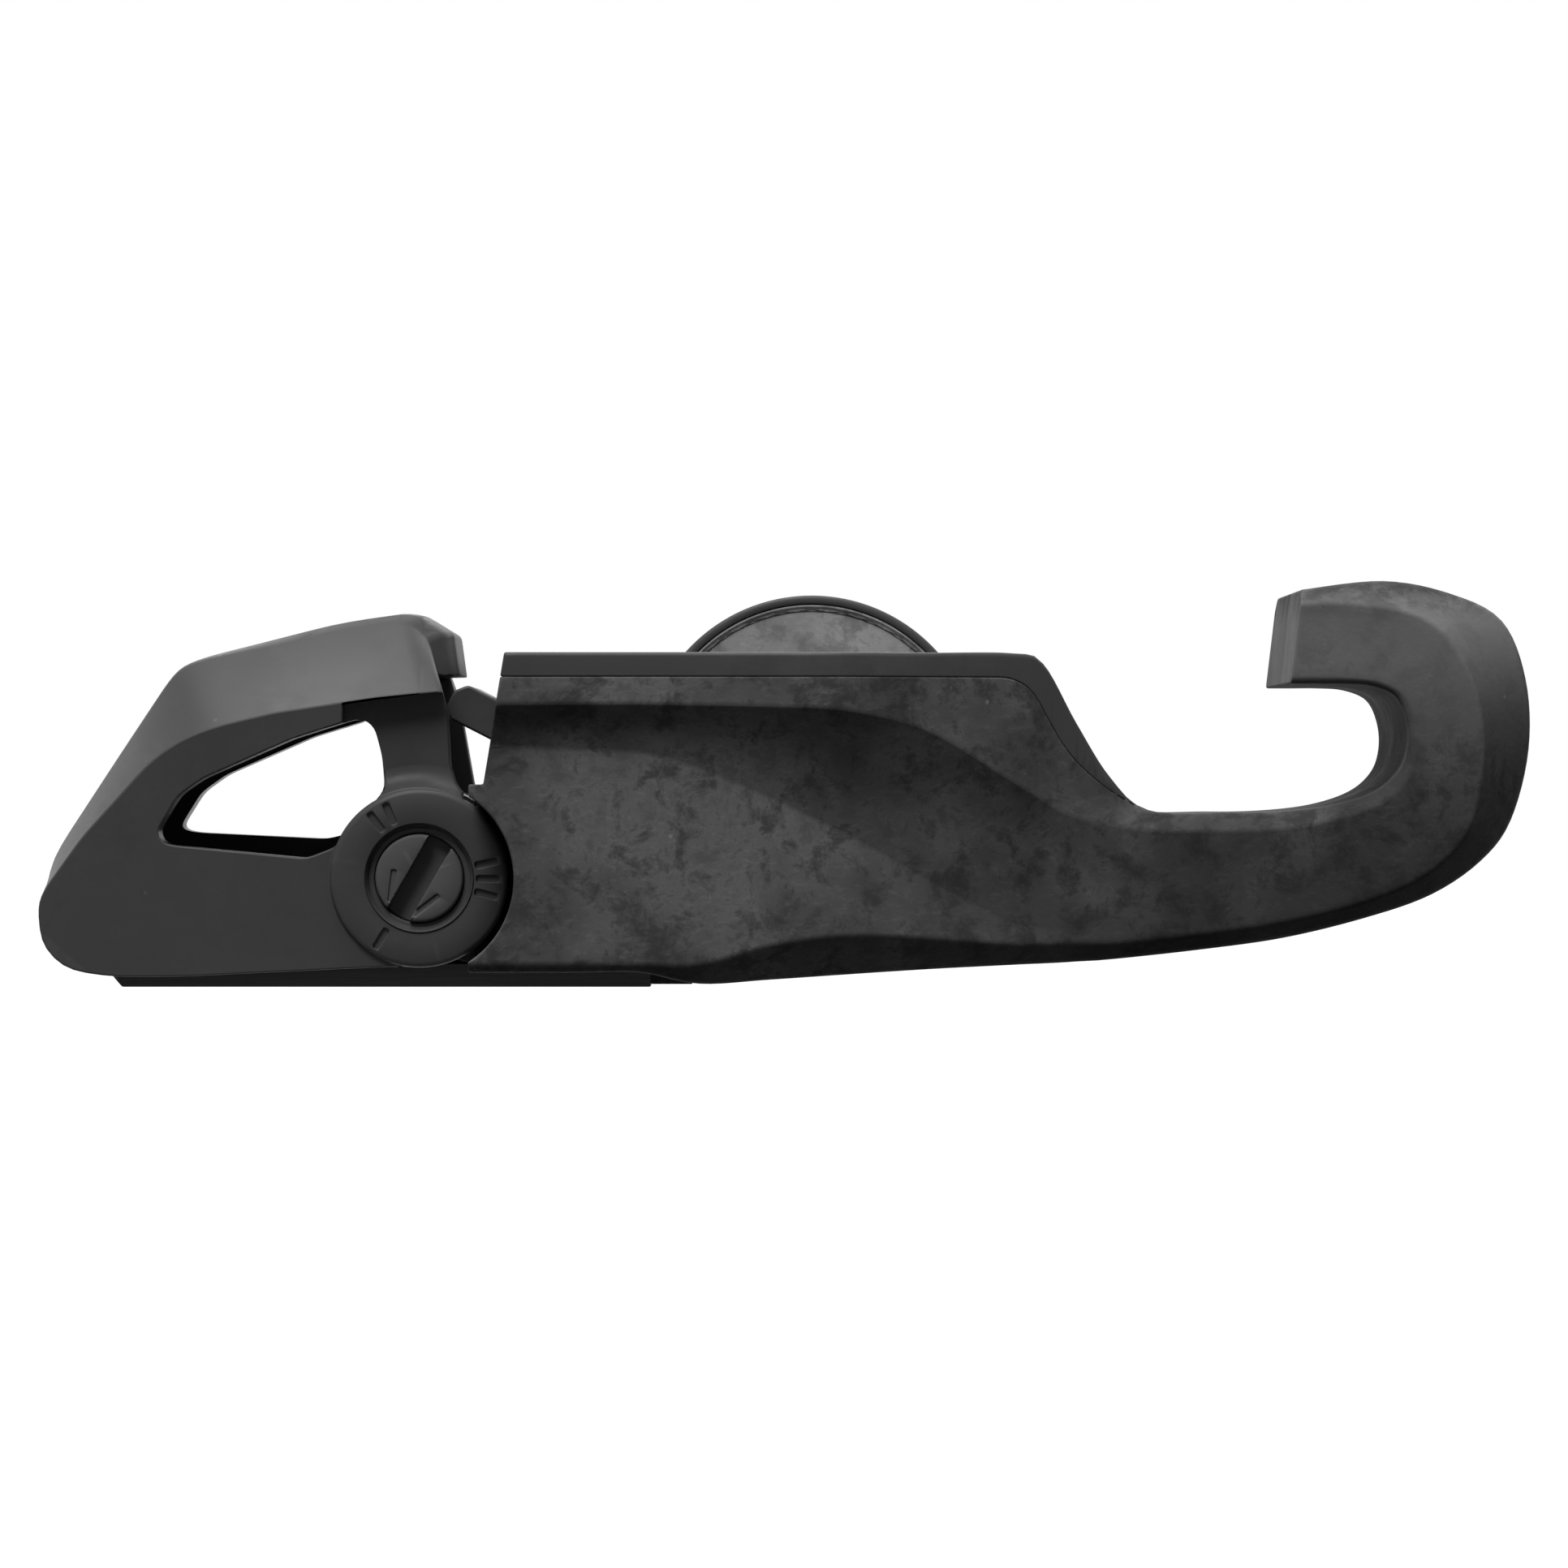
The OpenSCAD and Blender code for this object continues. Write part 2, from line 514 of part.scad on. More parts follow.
module rear_arm() color(smooth_black) difference() {
    union() {
        difference() {
            arm_blank();
            side_slab(mid_y - cheek_inner, mid_y + cheek_inner) from_pivot() polygon(hollow_outline);
            side_slab(mid_y - 20, mid_y + 20) from_pivot() polygon(window_outline);
            side_slab(mid_y - 20, mid_y + 20) from_pivot() polygon(front_notch);
            // The column is set in from the claw's flank
            both_sides(claw_half - 1.6, claw_half + 5) from_pivot()
                polygon([[6, 4.6], [-4.6, 4.6], [-4.6, 11.2], [-1, 12.2], [6, 12.2]]);
        }
        both_sides(cheek_inner, claw_half + boss_proud - 0.4) from_pivot() circle(r = cheek_boss_r);
        for (side = [0, 1]) translate([0, 2 * side * mid_y, 0]) mirror([0, side, 0])
            along_y(pivot[0], mid_y + claw_half + boss_proud - 0.4, pivot[1])
                cylinder(r1 = cheek_boss_r, r2 = cheek_boss_r - 0.4, h = 0.4);
    }
    cross_pin(pivot, axle_r + running, mid_y - 20, mid_y + 20);
    cross_pin(pivot, head_r + 0.55, mid_y - 20, mid_y - claw_half - boss_proud + head_thick + 0.1);
    cross_pin(pivot, head_r + 0.55, mid_y + claw_half + boss_proud - 1.3, mid_y + 20);
    side_slab(mid_y - 20, mid_y - claw_half - boss_proud + 0.2) from_pivot() dial_strokes();
}

// ---------------------------------------------------------------- tension adjuster

head_face = mid_y - claw_half - boss_proud + 0.1;
clip_face = mid_y + claw_half + boss_proud - 1.3;
clip_thick = 0.7;
key_flat = axle_r - 0.6;

module adjuster_axle() color(dark_steel) difference() {
    union() {
        cross_pin(pivot, head_r, head_face, head_face + head_thick);
        cross_pin(pivot, axle_r, head_face + head_thick, clip_face + clip_thick + 0.5);
    }
    // Screwdriver slot, turned towards the first mark
    along_y(pivot[0], head_face - 1, pivot[1]) rotate(-60)
        translate([-5, -slot_width / 2, 0]) cube([10, slot_width, 1 + slot_depth]);
    // Flat that keys the cam
    along_y(pivot[0], mid_y - cam_width / 2 - 0.2, pivot[1])
        translate([key_flat, -5, 0]) cube([5, 10, cam_width + 0.4]);
    // Groove of the clip
    difference() {
        cross_pin(pivot, axle_r + 1, clip_face, clip_face + clip_thick);
        cross_pin(pivot, axle_r - 0.5, clip_face - 1, clip_face + clip_thick + 1);
    }
    // Arrow astride the slot, pointing at the first mark
    for (side = [-1, 1]) along_y(pivot[0], head_face - 1, pivot[1]) rotate(120)
        translate([0.3, side * 1.85, 0]) rotate(-side * 23) translate([0, -0.12, 0]) cube([2.5, 0.24, 1.12]);
}

// Three flats of growing height on a round cam
module tension_cam() color(steel) side_slab(mid_y - cam_width / 2, mid_y + cam_width / 2) from_pivot()
    difference() {
        circle(r = cam_low + 2 * cam_step + 0.05);
        for (k = [0 : 2]) rotate(-90 + 120 * k) translate([cam_low + k * cam_step, -8]) square([5, 16]);
        intersection() {
            circle(r = axle_r + seated);
            translate([-5, -5]) square([5 + key_flat + seated, 10]);
        }
    }

module adjuster_seal() color(rubber) along_y(pivot[0], head_face + head_thick - 0.55, pivot[1])
    rotate_extrude() translate([head_r + 0.275, 0]) circle(r = 0.25, $fn = 24);

module adjuster_clip() color(steel) difference() {
    cross_pin(pivot, axle_r + 1, clip_face + seated, clip_face + clip_thick - seated);
    cross_pin(pivot, axle_r - 0.5 + seated, clip_face - 1, clip_face + 2);
    along_y(pivot[0], clip_face - 1, pivot[1]) translate([0, -1.3, 0]) cube([6, 2.6, 3]);
}

// Flanged bushes in the lug, one each side of the cam
module pivot_bushes() color([0.75, 0.7, 0.55]) for (side = [0, 1])
    translate([0, 2 * side * mid_y, 0]) mirror([0, side, 0]) difference() {
        union() {
            cross_pin(pivot, bush_r, mid_y + cam_width / 2 + side_gap, mid_y + lug_half);
            cross_pin(pivot, bush_r + 0.9, mid_y + lug_half, mid_y + lug_half + 0.5);
        }
        cross_pin(pivot, axle_r + running, mid_y, mid_y + 20);
    }

// ---------------------------------------------------------------- leaf spring

module leaf_spring() color(composite) difference() {
    side_slab(mid_y - leaf_half, mid_y + leaf_half) from_pivot() polygon([
        [leaf_front, leaf_top - pivot[1]], [leaf_front, sole - pivot[1]],
        [-leaf_tail + 0.8, sole - pivot[1]], [-leaf_tail, sole - pivot[1] + 0.9],
        [-leaf_tail, leaf_top - pivot[1]]
    ]);
    at_places(leaf_screw_places, sole - 1) cylinder(r = leaf_screw_r + running, h = 5);
    at_places(leaf_screw_places, sole - 0.1)
        cylinder(r1 = 1.6 * leaf_screw_r + 0.2, r2 = leaf_screw_r, h = 0.6 * leaf_screw_r + 0.3);
}

module leaf_screws() color(dark_steel) at_places(leaf_screw_places, sole + 0.1) difference() {
    rotate_extrude() polygon([
        [0, 0], [1.6 * leaf_screw_r, 0], [leaf_screw_r, 0.6 * leaf_screw_r], [leaf_screw_r, 9], [0, 9]
    ]);
    translate([0, 0, -1]) cylinder(r = leaf_screw_r * 0.6, h = 2.2, $fn = 6);
}

// ---------------------------------------------------------------- trigger

coil_half = 3;
module trigger() color(smooth_black) difference() {
    union() {
        cross_pin(trigger_pivot, knuckle_r, mid_y - trigger_half, mid_y + trigger_half);
        side_slab(mid_y - trigger_half, mid_y + trigger_half) translate(trigger_pivot) rotate(-trigger_slope)
            polygon([
                [0, -trigger_thick / 2], [-trigger_length + 0.6, -trigger_thick / 2],
                [-trigger_length, -trigger_thick / 2 + 0.6], [-trigger_length, trigger_thick / 2 - 0.5],
                [-trigger_length + 0.5, trigger_thick / 2], [0, trigger_thick / 2]
            ]);
    }
    cross_pin(trigger_pivot, pin_r + running, mid_y - 20, mid_y + 20);
    // Gap for the torsion spring's coil
    side_slab(mid_y - coil_half, mid_y + coil_half) translate(trigger_pivot) circle(r = knuckle_r + 0.6);
}

module trigger_pin() color(steel)
    cross_pin(trigger_pivot, pin_r, mid_y - pocket_half - 3.2, mid_y + pocket_half + 3.2);

// Torsion spring about the pin: one leg under the trigger, the coil, one leg down to the pocket's floor
wire_r = 0.35;
coil_r = pin_r + wire_r + 0.1;
coil_end = 2.4;
leg_slope = 4;
function in_side_view(a) = [cos(a), 0, sin(a)];
function coil_centre(a, y, along) =
    [trigger_pivot[0], mid_y + y, trigger_pivot[1]] + coil_r * in_side_view(a) + along * in_side_view(a + 90);
spring_from = 270 - trigger_slope;
spring_to = 270 - leg_slope + 360 * 4;
// Rows of the angle about the pin, the place across the pedal and the run along the leg
spring_path = concat(
    [[spring_from, -coil_end, -spring_leg - 1]],
    [for (k = [0 : 80]) [spring_from + (spring_to - spring_from) * k / 80, coil_end * (k / 40 - 1), 0]],
    [[spring_to, coil_end, spring_leg - 0.6]]
);
module trigger_spring() color(steel) loft([
    for (p = spring_path) [
        for (w = [0 : 60 : 300])
            coil_centre(p[0], p[1], p[2]) + wire_r * (cos(w) * in_side_view(p[0]) - sin(w) * [0, 1, 0])
    ]
]);

spindle();
inboard_inner_race();
outboard_inner_race();
axle_washer();
axle_locknut();
inboard_balls();
inboard_cage();
outboard_balls();
outboard_cage();
pedal_body();
platform_plate();
plate_screws();
inboard_outer_race();
outboard_outer_race();
lock_collar();
lip_seal();
leaf_spring();
leaf_screws();
pivot_bushes();
trigger_pin();
trigger_spring();
rear_arm();
adjuster_axle();
tension_cam();
adjuster_seal();
adjuster_clip();
trigger();
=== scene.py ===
"""Looks of the road clipless pedal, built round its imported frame.

X points forward, Y in towards the crank and Z up, with the origin where the spindle's axis
meets the crank. Sizes are millimetres while a piece is being shaped, and metres once it is done.
"""

from __future__ import annotations

import json
import logging
import math
from dataclasses import dataclass
from enum import Enum
from typing import Callable, Iterable, Sequence

import bmesh
import bpy
from mathutils import Matrix, Vector
from mathutils.bvhtree import BVHTree

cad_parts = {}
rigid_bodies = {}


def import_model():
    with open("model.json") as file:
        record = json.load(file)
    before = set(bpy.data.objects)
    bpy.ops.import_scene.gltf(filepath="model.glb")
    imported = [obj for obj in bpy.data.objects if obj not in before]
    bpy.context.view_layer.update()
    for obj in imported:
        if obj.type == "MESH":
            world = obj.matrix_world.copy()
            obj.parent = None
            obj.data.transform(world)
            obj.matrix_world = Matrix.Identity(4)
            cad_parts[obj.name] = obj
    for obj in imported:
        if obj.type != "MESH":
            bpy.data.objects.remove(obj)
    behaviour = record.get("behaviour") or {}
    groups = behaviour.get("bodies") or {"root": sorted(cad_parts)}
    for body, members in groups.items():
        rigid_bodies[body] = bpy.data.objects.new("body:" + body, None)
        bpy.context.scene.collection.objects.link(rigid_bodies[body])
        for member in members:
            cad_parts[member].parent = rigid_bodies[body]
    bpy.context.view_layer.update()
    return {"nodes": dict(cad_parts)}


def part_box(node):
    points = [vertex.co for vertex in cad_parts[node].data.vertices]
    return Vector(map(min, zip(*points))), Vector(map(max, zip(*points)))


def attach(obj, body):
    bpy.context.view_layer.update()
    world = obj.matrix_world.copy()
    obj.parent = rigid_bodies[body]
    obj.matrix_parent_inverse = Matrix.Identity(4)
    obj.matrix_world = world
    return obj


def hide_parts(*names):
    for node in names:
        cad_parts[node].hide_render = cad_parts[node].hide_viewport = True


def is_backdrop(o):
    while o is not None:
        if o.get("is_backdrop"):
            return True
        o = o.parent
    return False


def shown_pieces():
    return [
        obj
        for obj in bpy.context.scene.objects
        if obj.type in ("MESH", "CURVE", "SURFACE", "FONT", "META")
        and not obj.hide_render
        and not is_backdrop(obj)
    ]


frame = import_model()

log = logging.getLogger("pedal")

MM = 0.001
# Edges that turn less than this are shaded smooth
SMOOTH_LIMIT = math.radians(50)
# The same beside a flat face that keeps its own shading
FLAT_LIMIT = math.radians(6)
# A face with more corners than this keeps its own, and so does a triangle that lies in one plane
# with a neighbour, to within this angle
MANY_CORNERS = 8
IN_PLANE = 0.001
# Faces narrower on average than this, in metres, are slivers, whose edges are shaded smooth
SLIVER_WIDTH = 4e-6
# Spans across every bevel
BEVEL_SPANS = 2
# Reach in millimetres over which points are joined before a bevel
WELD = 0.01
# Half widths in millimetres that go past every piece, and past the arm and the lug
FAR = 40
CLEAR = 20
# A place behind every piece, in millimetres
BEHIND = -60
Flat = tuple[float, float]
Outline = list[Flat]
Material = bpy.types.Material
Node = bpy.types.Node
Object = bpy.types.Object
Socket = bpy.types.NodeSocket


# ------------------------------------------------------------------ places that the frame fixes


@dataclass(frozen=True)
class Datum:
    """Places that the frame fixes, in millimetres."""

    mid_y: float
    top: float
    platform_half: float
    platform_rear: float
    pivot: Flat
    trigger_pivot: Flat
    dial_face: float
    head_face: float
    sole: float
    leaf_top: float
    leaf_half: float
    leaf_tail: float
    leaf_front: float
    boss_in: float
    boss_r: float
    nose: float
    spindle_in: float
    spindle_out: float

    @classmethod
    def from_frame(cls) -> Datum:
        """Reads the places from the boxes of the CAD nodes.

        Returns:
            The places.
        """

        def low(node: str) -> Vector:
            """Lowest corner of a node's box."""
            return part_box(node)[0] / MM

        def high(node: str) -> Vector:
            """Highest corner of a node's box."""
            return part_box(node)[1] / MM

        def middle(node: str) -> Vector:
            """Middle of a node's box."""
            return (low(node) + high(node)) / 2

        plate, axle, pin = middle("platform_plate"), middle("adjuster_axle"), middle("trigger_pin")
        return cls(
            mid_y=plate.y,
            top=high("platform_plate").z,
            platform_half=high("platform_plate").y - plate.y,
            platform_rear=low("platform_plate").x,
            pivot=(axle.x, axle.z),
            trigger_pivot=(pin.x, pin.z),
            dial_face=low("rear_arm").y,
            head_face=low("adjuster_axle").y,
            sole=low("leaf_spring").z,
            leaf_top=high("leaf_spring").z,
            leaf_half=high("leaf_spring").y - plate.y,
            leaf_tail=low("leaf_spring").x,
            leaf_front=high("leaf_spring").x,
            boss_in=high("pedal_body").y,
            boss_r=high("lock_collar").x + 1.77,
            nose=high("pedal_body").x,
            spindle_in=high("spindle").y,
            spindle_out=low("spindle").y,
        )

    def across(self, half: float) -> tuple[float, float]:
        """Two places across the pedal, each that far from the line of the cleat."""
        return self.mid_y - half, self.mid_y + half


# ------------------------------------------------------------------ shaping


def rounded(outline: Sequence[Flat], radius: float | Sequence[float], steps: int = 3) -> Outline:
    """Rounds the corners of a closed outline.

    Args:
        outline: Corners in order.
        radius: How far from each corner the round begins, one number or one for each corner.
        steps: Spans across each round.

    Returns:
        The outline with steps + 1 points at each corner.
    """
    reach = [radius] * len(outline) if isinstance(radius, (int, float)) else list(radius)
    points: Outline = []
    for i, corner in enumerate(outline):
        here, back, ahead = Vector(corner), Vector(outline[i - 1]), Vector(outline[(i + 1) % len(outline)])
        start = here + (back - here).normalized() * min(reach[i], (back - here).length * 0.45)
        end = here + (ahead - here).normalized() * min(reach[i], (ahead - here).length * 0.45)
        for k in range(steps + 1):
            t = k / steps
            point = start * (1 - t) ** 2 + here * (2 * t * (1 - t)) + end * t**2
            points.append((point.x, point.y))
    return points


def part_way(a: Flat, b: Flat, t: float) -> Flat:
    """The point at share t of the way from a to b."""
    return a[0] + (b[0] - a[0]) * t, a[1] + (b[1] - a[1]) * t


def evenly(line: Sequence[Flat], count: int) -> Outline:
    """Points evenly spaced along an open line, its ends among them.

    Args:
        line: Corners in order.
        count: How many points.

    Returns:
        The points.
    """
    reach = [0.0]
    for a, b in zip(line, line[1:]):
        reach.append(reach[-1] + math.dist(a, b))
    points: Outline = []
    i = 0
    for k in range(count):
        goal = reach[-1] * k / (count - 1)
        while i < len(line) - 2 and reach[i + 1] < goal:
            i += 1
        points.append(part_way(line[i], line[i + 1], (goal - reach[i]) / max(reach[i + 1] - reach[i], 1e-9)))
    return points


def moved(outline: Iterable[Flat], place: Flat) -> Outline:
    """The outline shifted to a place in the side view."""
    return [(x + place[0], z + place[1]) for x, z in outline]


# Corners of a square two across, in order
SQUARE: tuple[Flat, ...] = ((-1, -1), (1, -1), (1, 1), (-1, 1))


class Fit(Enum):
    """How tools act on a blank."""

    CUT = "DIFFERENCE"
    JOIN = "UNION"
    KEEP = "INTERSECT"


class Blank:
    """A closed solid under construction, in millimetres of the shared frame."""

    def __init__(self) -> None:
        """Starts with nothing."""
        self.bm = bmesh.new()

    @classmethod
    def prism(cls, outline: Sequence[Flat], y_from: float, y_to: float) -> Blank:
        """A side-view outline made solid between two places across the pedal.

        Args:
            outline: Corners in order, as (x, z).
            y_from: Where it begins across the pedal.
            y_to: Where it ends.

        Returns:
            The prism.
        """
        blank = cls()
        face = blank.bm.faces.new([blank.bm.verts.new((x, y_from, z)) for x, z in outline])
        made = bmesh.ops.extrude_face_region(blank.bm, geom=[face])["geom"]
        verts = [g for g in made if isinstance(g, bmesh.types.BMVert)]
        bmesh.ops.translate(blank.bm, verts=verts, vec=(0, y_to - y_from, 0))
        return blank.outward()

    @classmethod
    def plate(cls, outline: Sequence[Flat], z_from: float, z_to: float) -> Blank:
        """A plan-view outline made solid between two heights.

        Args:
            outline: Corners in order, as (x, y).
            z_from: Its foot.
            z_to: Its top.

        Returns:
            The plate.
        """
        blank = cls.prism(outline, z_from, z_to)
        upright = Matrix(((1, 0, 0, 0), (0, 0, 1, 0), (0, 1, 0, 0), (0, 0, 0, 1)))
        bmesh.ops.transform(blank.bm, verts=blank.bm.verts, matrix=upright)
        return blank.outward()

    @classmethod
    def block(cls, low: Sequence[float], high: Sequence[float]) -> Blank:
        """A box between two corners.

        Args:
            low: Lowest corner.
            high: Highest corner.

        Returns:
            The box.
        """
        blank = cls()
        size, centre = Vector(high) - Vector(low), (Vector(high) + Vector(low)) / 2
        matrix = Matrix.Translation(centre) @ Matrix.Diagonal((*size, 1))
        bmesh.ops.create_cube(blank.bm, size=1, matrix=matrix)
        return blank

    @classmethod
    def rod(
        cls, place: Flat, radius: float, y_from: float, y_to: float,
        sides: int = 64, end_radius: float | None = None,
    ) -> Blank:
        """A round or many-sided bar across the pedal.

        Args:
            place: Its axis in the side view.
            radius: Its radius at y_from.
            y_from: Where it begins across the pedal.
            y_to: Where it ends.
            sides: Spans round it.
            end_radius: Its radius at y_to, where it isn't the same.

        Returns:
            The bar.
        """
        blank = cls()
        matrix = Matrix.Translation((place[0], (y_from + y_to) / 2, place[1]))
        matrix = matrix @ Matrix.Rotation(math.radians(-90), 4, "X")
        bmesh.ops.create_cone(
            blank.bm, cap_ends=True, segments=sides, radius1=radius,
            radius2=radius if end_radius is None else end_radius, depth=y_to - y_from, matrix=matrix,
        )
        return blank.outward()

    @classmethod
    def post(cls, x: float, y: float, low: Flat, high: Flat, sides: int = 48) -> Blank:
        """An upright round bar or cone, from (height, radius) to (height, radius).

        Args:
            x: Its place forward.
            y: Its place across the pedal.
            low: Height and radius of its foot.
            high: Height and radius of its top.
            sides: Spans round it.

        Returns:
            The bar.
        """
        blank = cls()
        matrix = Matrix.Translation((x, y, (low[0] + high[0]) / 2))
        bmesh.ops.create_cone(
            blank.bm, cap_ends=True, segments=sides, radius1=low[1], radius2=high[1],
            depth=high[0] - low[0], matrix=matrix,
        )
        return blank

    @classmethod
    def lathe(
        cls, profile: Sequence[Flat], place: Flat = (0, 0), closed: bool = False, steps: int = 96
    ) -> Blank:
        """A profile turned about an axis across the pedal.

        Args:
            profile: Points as (radius, place along Y).
            place: Where the axis is in the side view.
            closed: Whether the last point joins the first, as round a bore.
            steps: Spans round the axis.

        Returns:
            The turned solid.
        """
        blank = cls()
        bm = blank.bm
        verts = [bm.verts.new((place[0] + r, y, place[1])) for r, y in profile]
        pairs = list(zip(verts, verts[1:])) + ([(verts[-1], verts[0])] if closed else [])
        edges = [bm.edges.new(pair) for pair in pairs]
        bmesh.ops.spin(
            bm, geom=verts + edges, cent=(place[0], 0, place[1]), axis=(0, 1, 0), dvec=(0, 0, 0),
            angle=2 * math.pi, steps=steps, use_merge=True,
        )
        return blank.merged(1e-4).outward()

    @classmethod
    def loft(cls, rings: Sequence[Sequence[Sequence[float]]]) -> Blank:
        """A skin through closed rings that have as many points as each other, with both ends filled.

        Args:
            rings: The rings in order.

        Returns:
            The solid.
        """
        blank = cls()
        bm = blank.bm
        verts = bmesh.ops.create_circle(bm, segments=len(rings[0]), radius=1)["verts"]
        first = edges = list(bm.edges)
        for vert, place in zip(verts, rings[0]):
            vert.co = place
        for ring in rings[1:]:
            made = bmesh.ops.extrude_edge_only(bm, edges=edges)["geom"]
            fresh = {g for g in made if isinstance(g, bmesh.types.BMVert)}
            edges = [g for g in made if isinstance(g, bmesh.types.BMEdge) and set(g.verts) <= fresh]
            verts = [next(e.other_vert(v) for e in v.link_edges if e.other_vert(v) in fresh) for v in verts]
            for vert, place in zip(verts, ring):
                vert.co = place
        for ends in (first, edges):
            bmesh.ops.edgeloop_fill(bm, edges=ends)
        return blank.outward()

    def outward(self) -> Blank:
        """Turns every face outwards."""
        bmesh.ops.recalc_face_normals(self.bm, faces=self.bm.faces)
        return self

    def merged(self, reach: float = 0.004) -> Blank:
        """Joins points that lie together and drops what has no size.

        Args:
            reach: How near to each other joined points lie.

        Returns:
            The solid itself.
        """
        bmesh.ops.remove_doubles(self.bm, verts=self.bm.verts, dist=reach)
        bmesh.ops.dissolve_degenerate(self.bm, edges=self.bm.edges, dist=reach / 2)
        return self

    def mirrored(self, mid_y: float) -> Blank:
        """A copy reflected across the line of the cleat.

        Args:
            mid_y: Where that line is across the pedal.

        Returns:
            The copy.
        """
        other = Blank()
        other.bm = self.bm.copy()
        bmesh.ops.scale(other.bm, verts=other.bm.verts, vec=(1, -1, 1))
        bmesh.ops.translate(other.bm, verts=other.bm.verts, vec=(0, 2 * mid_y, 0))
        bmesh.ops.reverse_faces(other.bm, faces=other.bm.faces)
        return other

    def turned(self, degrees: float, place: Flat) -> Blank:
        """Turns the solid in the side view about a place, anticlockwise as the photograph shows it.

        Args:
            degrees: How far.
            place: Where its centre of turning is.

        Returns:
            The solid itself.
        """
        spin = Matrix.Rotation(math.radians(-degrees), 3, "Y")
        bmesh.ops.rotate(self.bm, verts=self.bm.verts, cent=(place[0], 0, place[1]), matrix=spin)
        return self

    def fit(self, how: Fit, *tools: Blank) -> Blank:
        """Cuts the tools from the solid, joins them to it or keeps what lies in them.

        Args:
            how: What the tools do.
            tools: The other solids, which are left as they are.

        Returns:
            The solid itself.
        """
        target = self._as_object("blank")
        rack = bpy.data.collections.new("tools")
        for tool in tools:
            rack.objects.link(tool._as_object("tool"))
        work = target.modifiers.new("fit", "BOOLEAN")
        work.solver, work.operation = "EXACT", how.value
        work.operand_type, work.collection = "COLLECTION", rack
        bpy.context.scene.collection.objects.link(target)
        bpy.context.scene.collection.children.link(rack)
        rack.hide_render = True
        graph = bpy.context.evaluated_depsgraph_get()
        done = bpy.data.meshes.new_from_object(target.evaluated_get(graph))
        self.bm.clear()
        self.bm.from_mesh(done)
        spent = [target, *rack.objects]
        meshes = [obj.data for obj in spent] + [done]
        for obj in spent:
            bpy.data.objects.remove(obj)
        bpy.data.collections.remove(rack)
        for mesh in meshes:
            bpy.data.meshes.remove(mesh)
        return self.merged()

    def parted(self, *places: float) -> Blank:
        """Parts the faces along upright planes, so that none has an opening for a bevel to fold over.

        Args:
            places: Where the planes are along X.

        Returns:
            The solid itself.
        """
        bm = self.merged(WELD).bm
        for x in places:
            geom = [*bm.verts, *bm.edges, *bm.faces]
            bmesh.ops.bisect_plane(bm, geom=geom, dist=1e-4, plane_co=(x, 0, 0), plane_no=(1, 0, 0))
        return self

    def soften(
        self, width: float, angle: float = 35, where: Callable[[Vector], bool] = lambda place: True
    ) -> Blank:
        """Bevels the sharp edges.

        Args:
            width: Width of the bevel, from the edge.
            angle: How many degrees an edge turns before it counts as sharp.
            where: Says whether an edge's end lies where edges are beveled.

        Returns:
            The solid itself.
        """
        bm = self.merged(WELD).bm
        limit = math.radians(angle)
        sharp = [
            e for e in bm.edges
            if e.is_manifold and e.calc_face_angle(0) > limit and all(where(v.co) for v in e.verts)
        ]
        bmesh.ops.bevel(
            bm, geom=sharp, offset=width, offset_type="OFFSET", segments=BEVEL_SPANS, profile=0.5,
            affect="EDGES", clamp_overlap=False, material=-1, loop_slide=True,
        )
        return self

    def _as_object(self, name: str) -> Object:
        """A Blender object of the solid as it stands, still in millimetres.

        Args:
            name: The object's name.

        Returns:
            The object.
        """
        mesh = bpy.data.meshes.new(name)
        self.bm.to_mesh(mesh)
        return bpy.data.objects.new(name, mesh)

    def finish(self, name: str, body: str, material: Material, slot: str, *nodes: str) -> Object:
        """Makes the solid a piece of the pedal.

        Args:
            name: The piece's name.
            body: The body that it rides on.
            material: Its finish.
            slot: The record's material slot; not used.
            nodes: CAD nodes that the piece stands for.

        Returns:
            The piece, in metres, at the origin.
        """
        bm = self.bm
        bmesh.ops.scale(bm, verts=bm.verts, vec=(MM, MM, MM))
        for face in bm.faces:
            face.smooth = True
        level = {
            f for f in bm.faces
            if len(f.verts) > MANY_CORNERS
            or (len(f.verts) == 3 and any(e.calc_face_angle(1) < IN_PLANE for e in f.edges))
        }
        slivers = {
            f for f in bm.faces if f.calc_area() < SLIVER_WIDTH * max(e.calc_length() for e in f.edges)
        }
        for edge in bm.edges:
            limit = SMOOTH_LIMIT if level.isdisjoint(edge.link_faces) else FLAT_LIMIT
            beside_sliver = not slivers.isdisjoint(edge.link_faces)
            edge.smooth = edge.is_manifold and (beside_sliver or edge.calc_face_angle(0) < limit)
        piece = self._as_object(name)
        bpy.context.scene.collection.objects.link(piece)
        piece.data.materials.append(material)
        piece.modifiers.new("even_shading", "WEIGHTED_NORMAL").keep_sharp = True
        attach(piece, body)
        if nodes:
            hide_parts(*nodes)
        log.info("%s: %d faces on %s", name, len(bm.faces), body)
        bm.free()
        return piece


# ------------------------------------------------------------------ view and image points


@dataclass(frozen=True)
class Landmark:
    """A point of the photograph and the part of a piece that it marks.

    The picked vertex is the shown one that lies furthest along toward, within reach pixels of the
    point; with no direction it is the middle of what shows of the piece.
    """

    at: Flat
    piece: str
    toward: Flat | None = None
    reach: float = 60


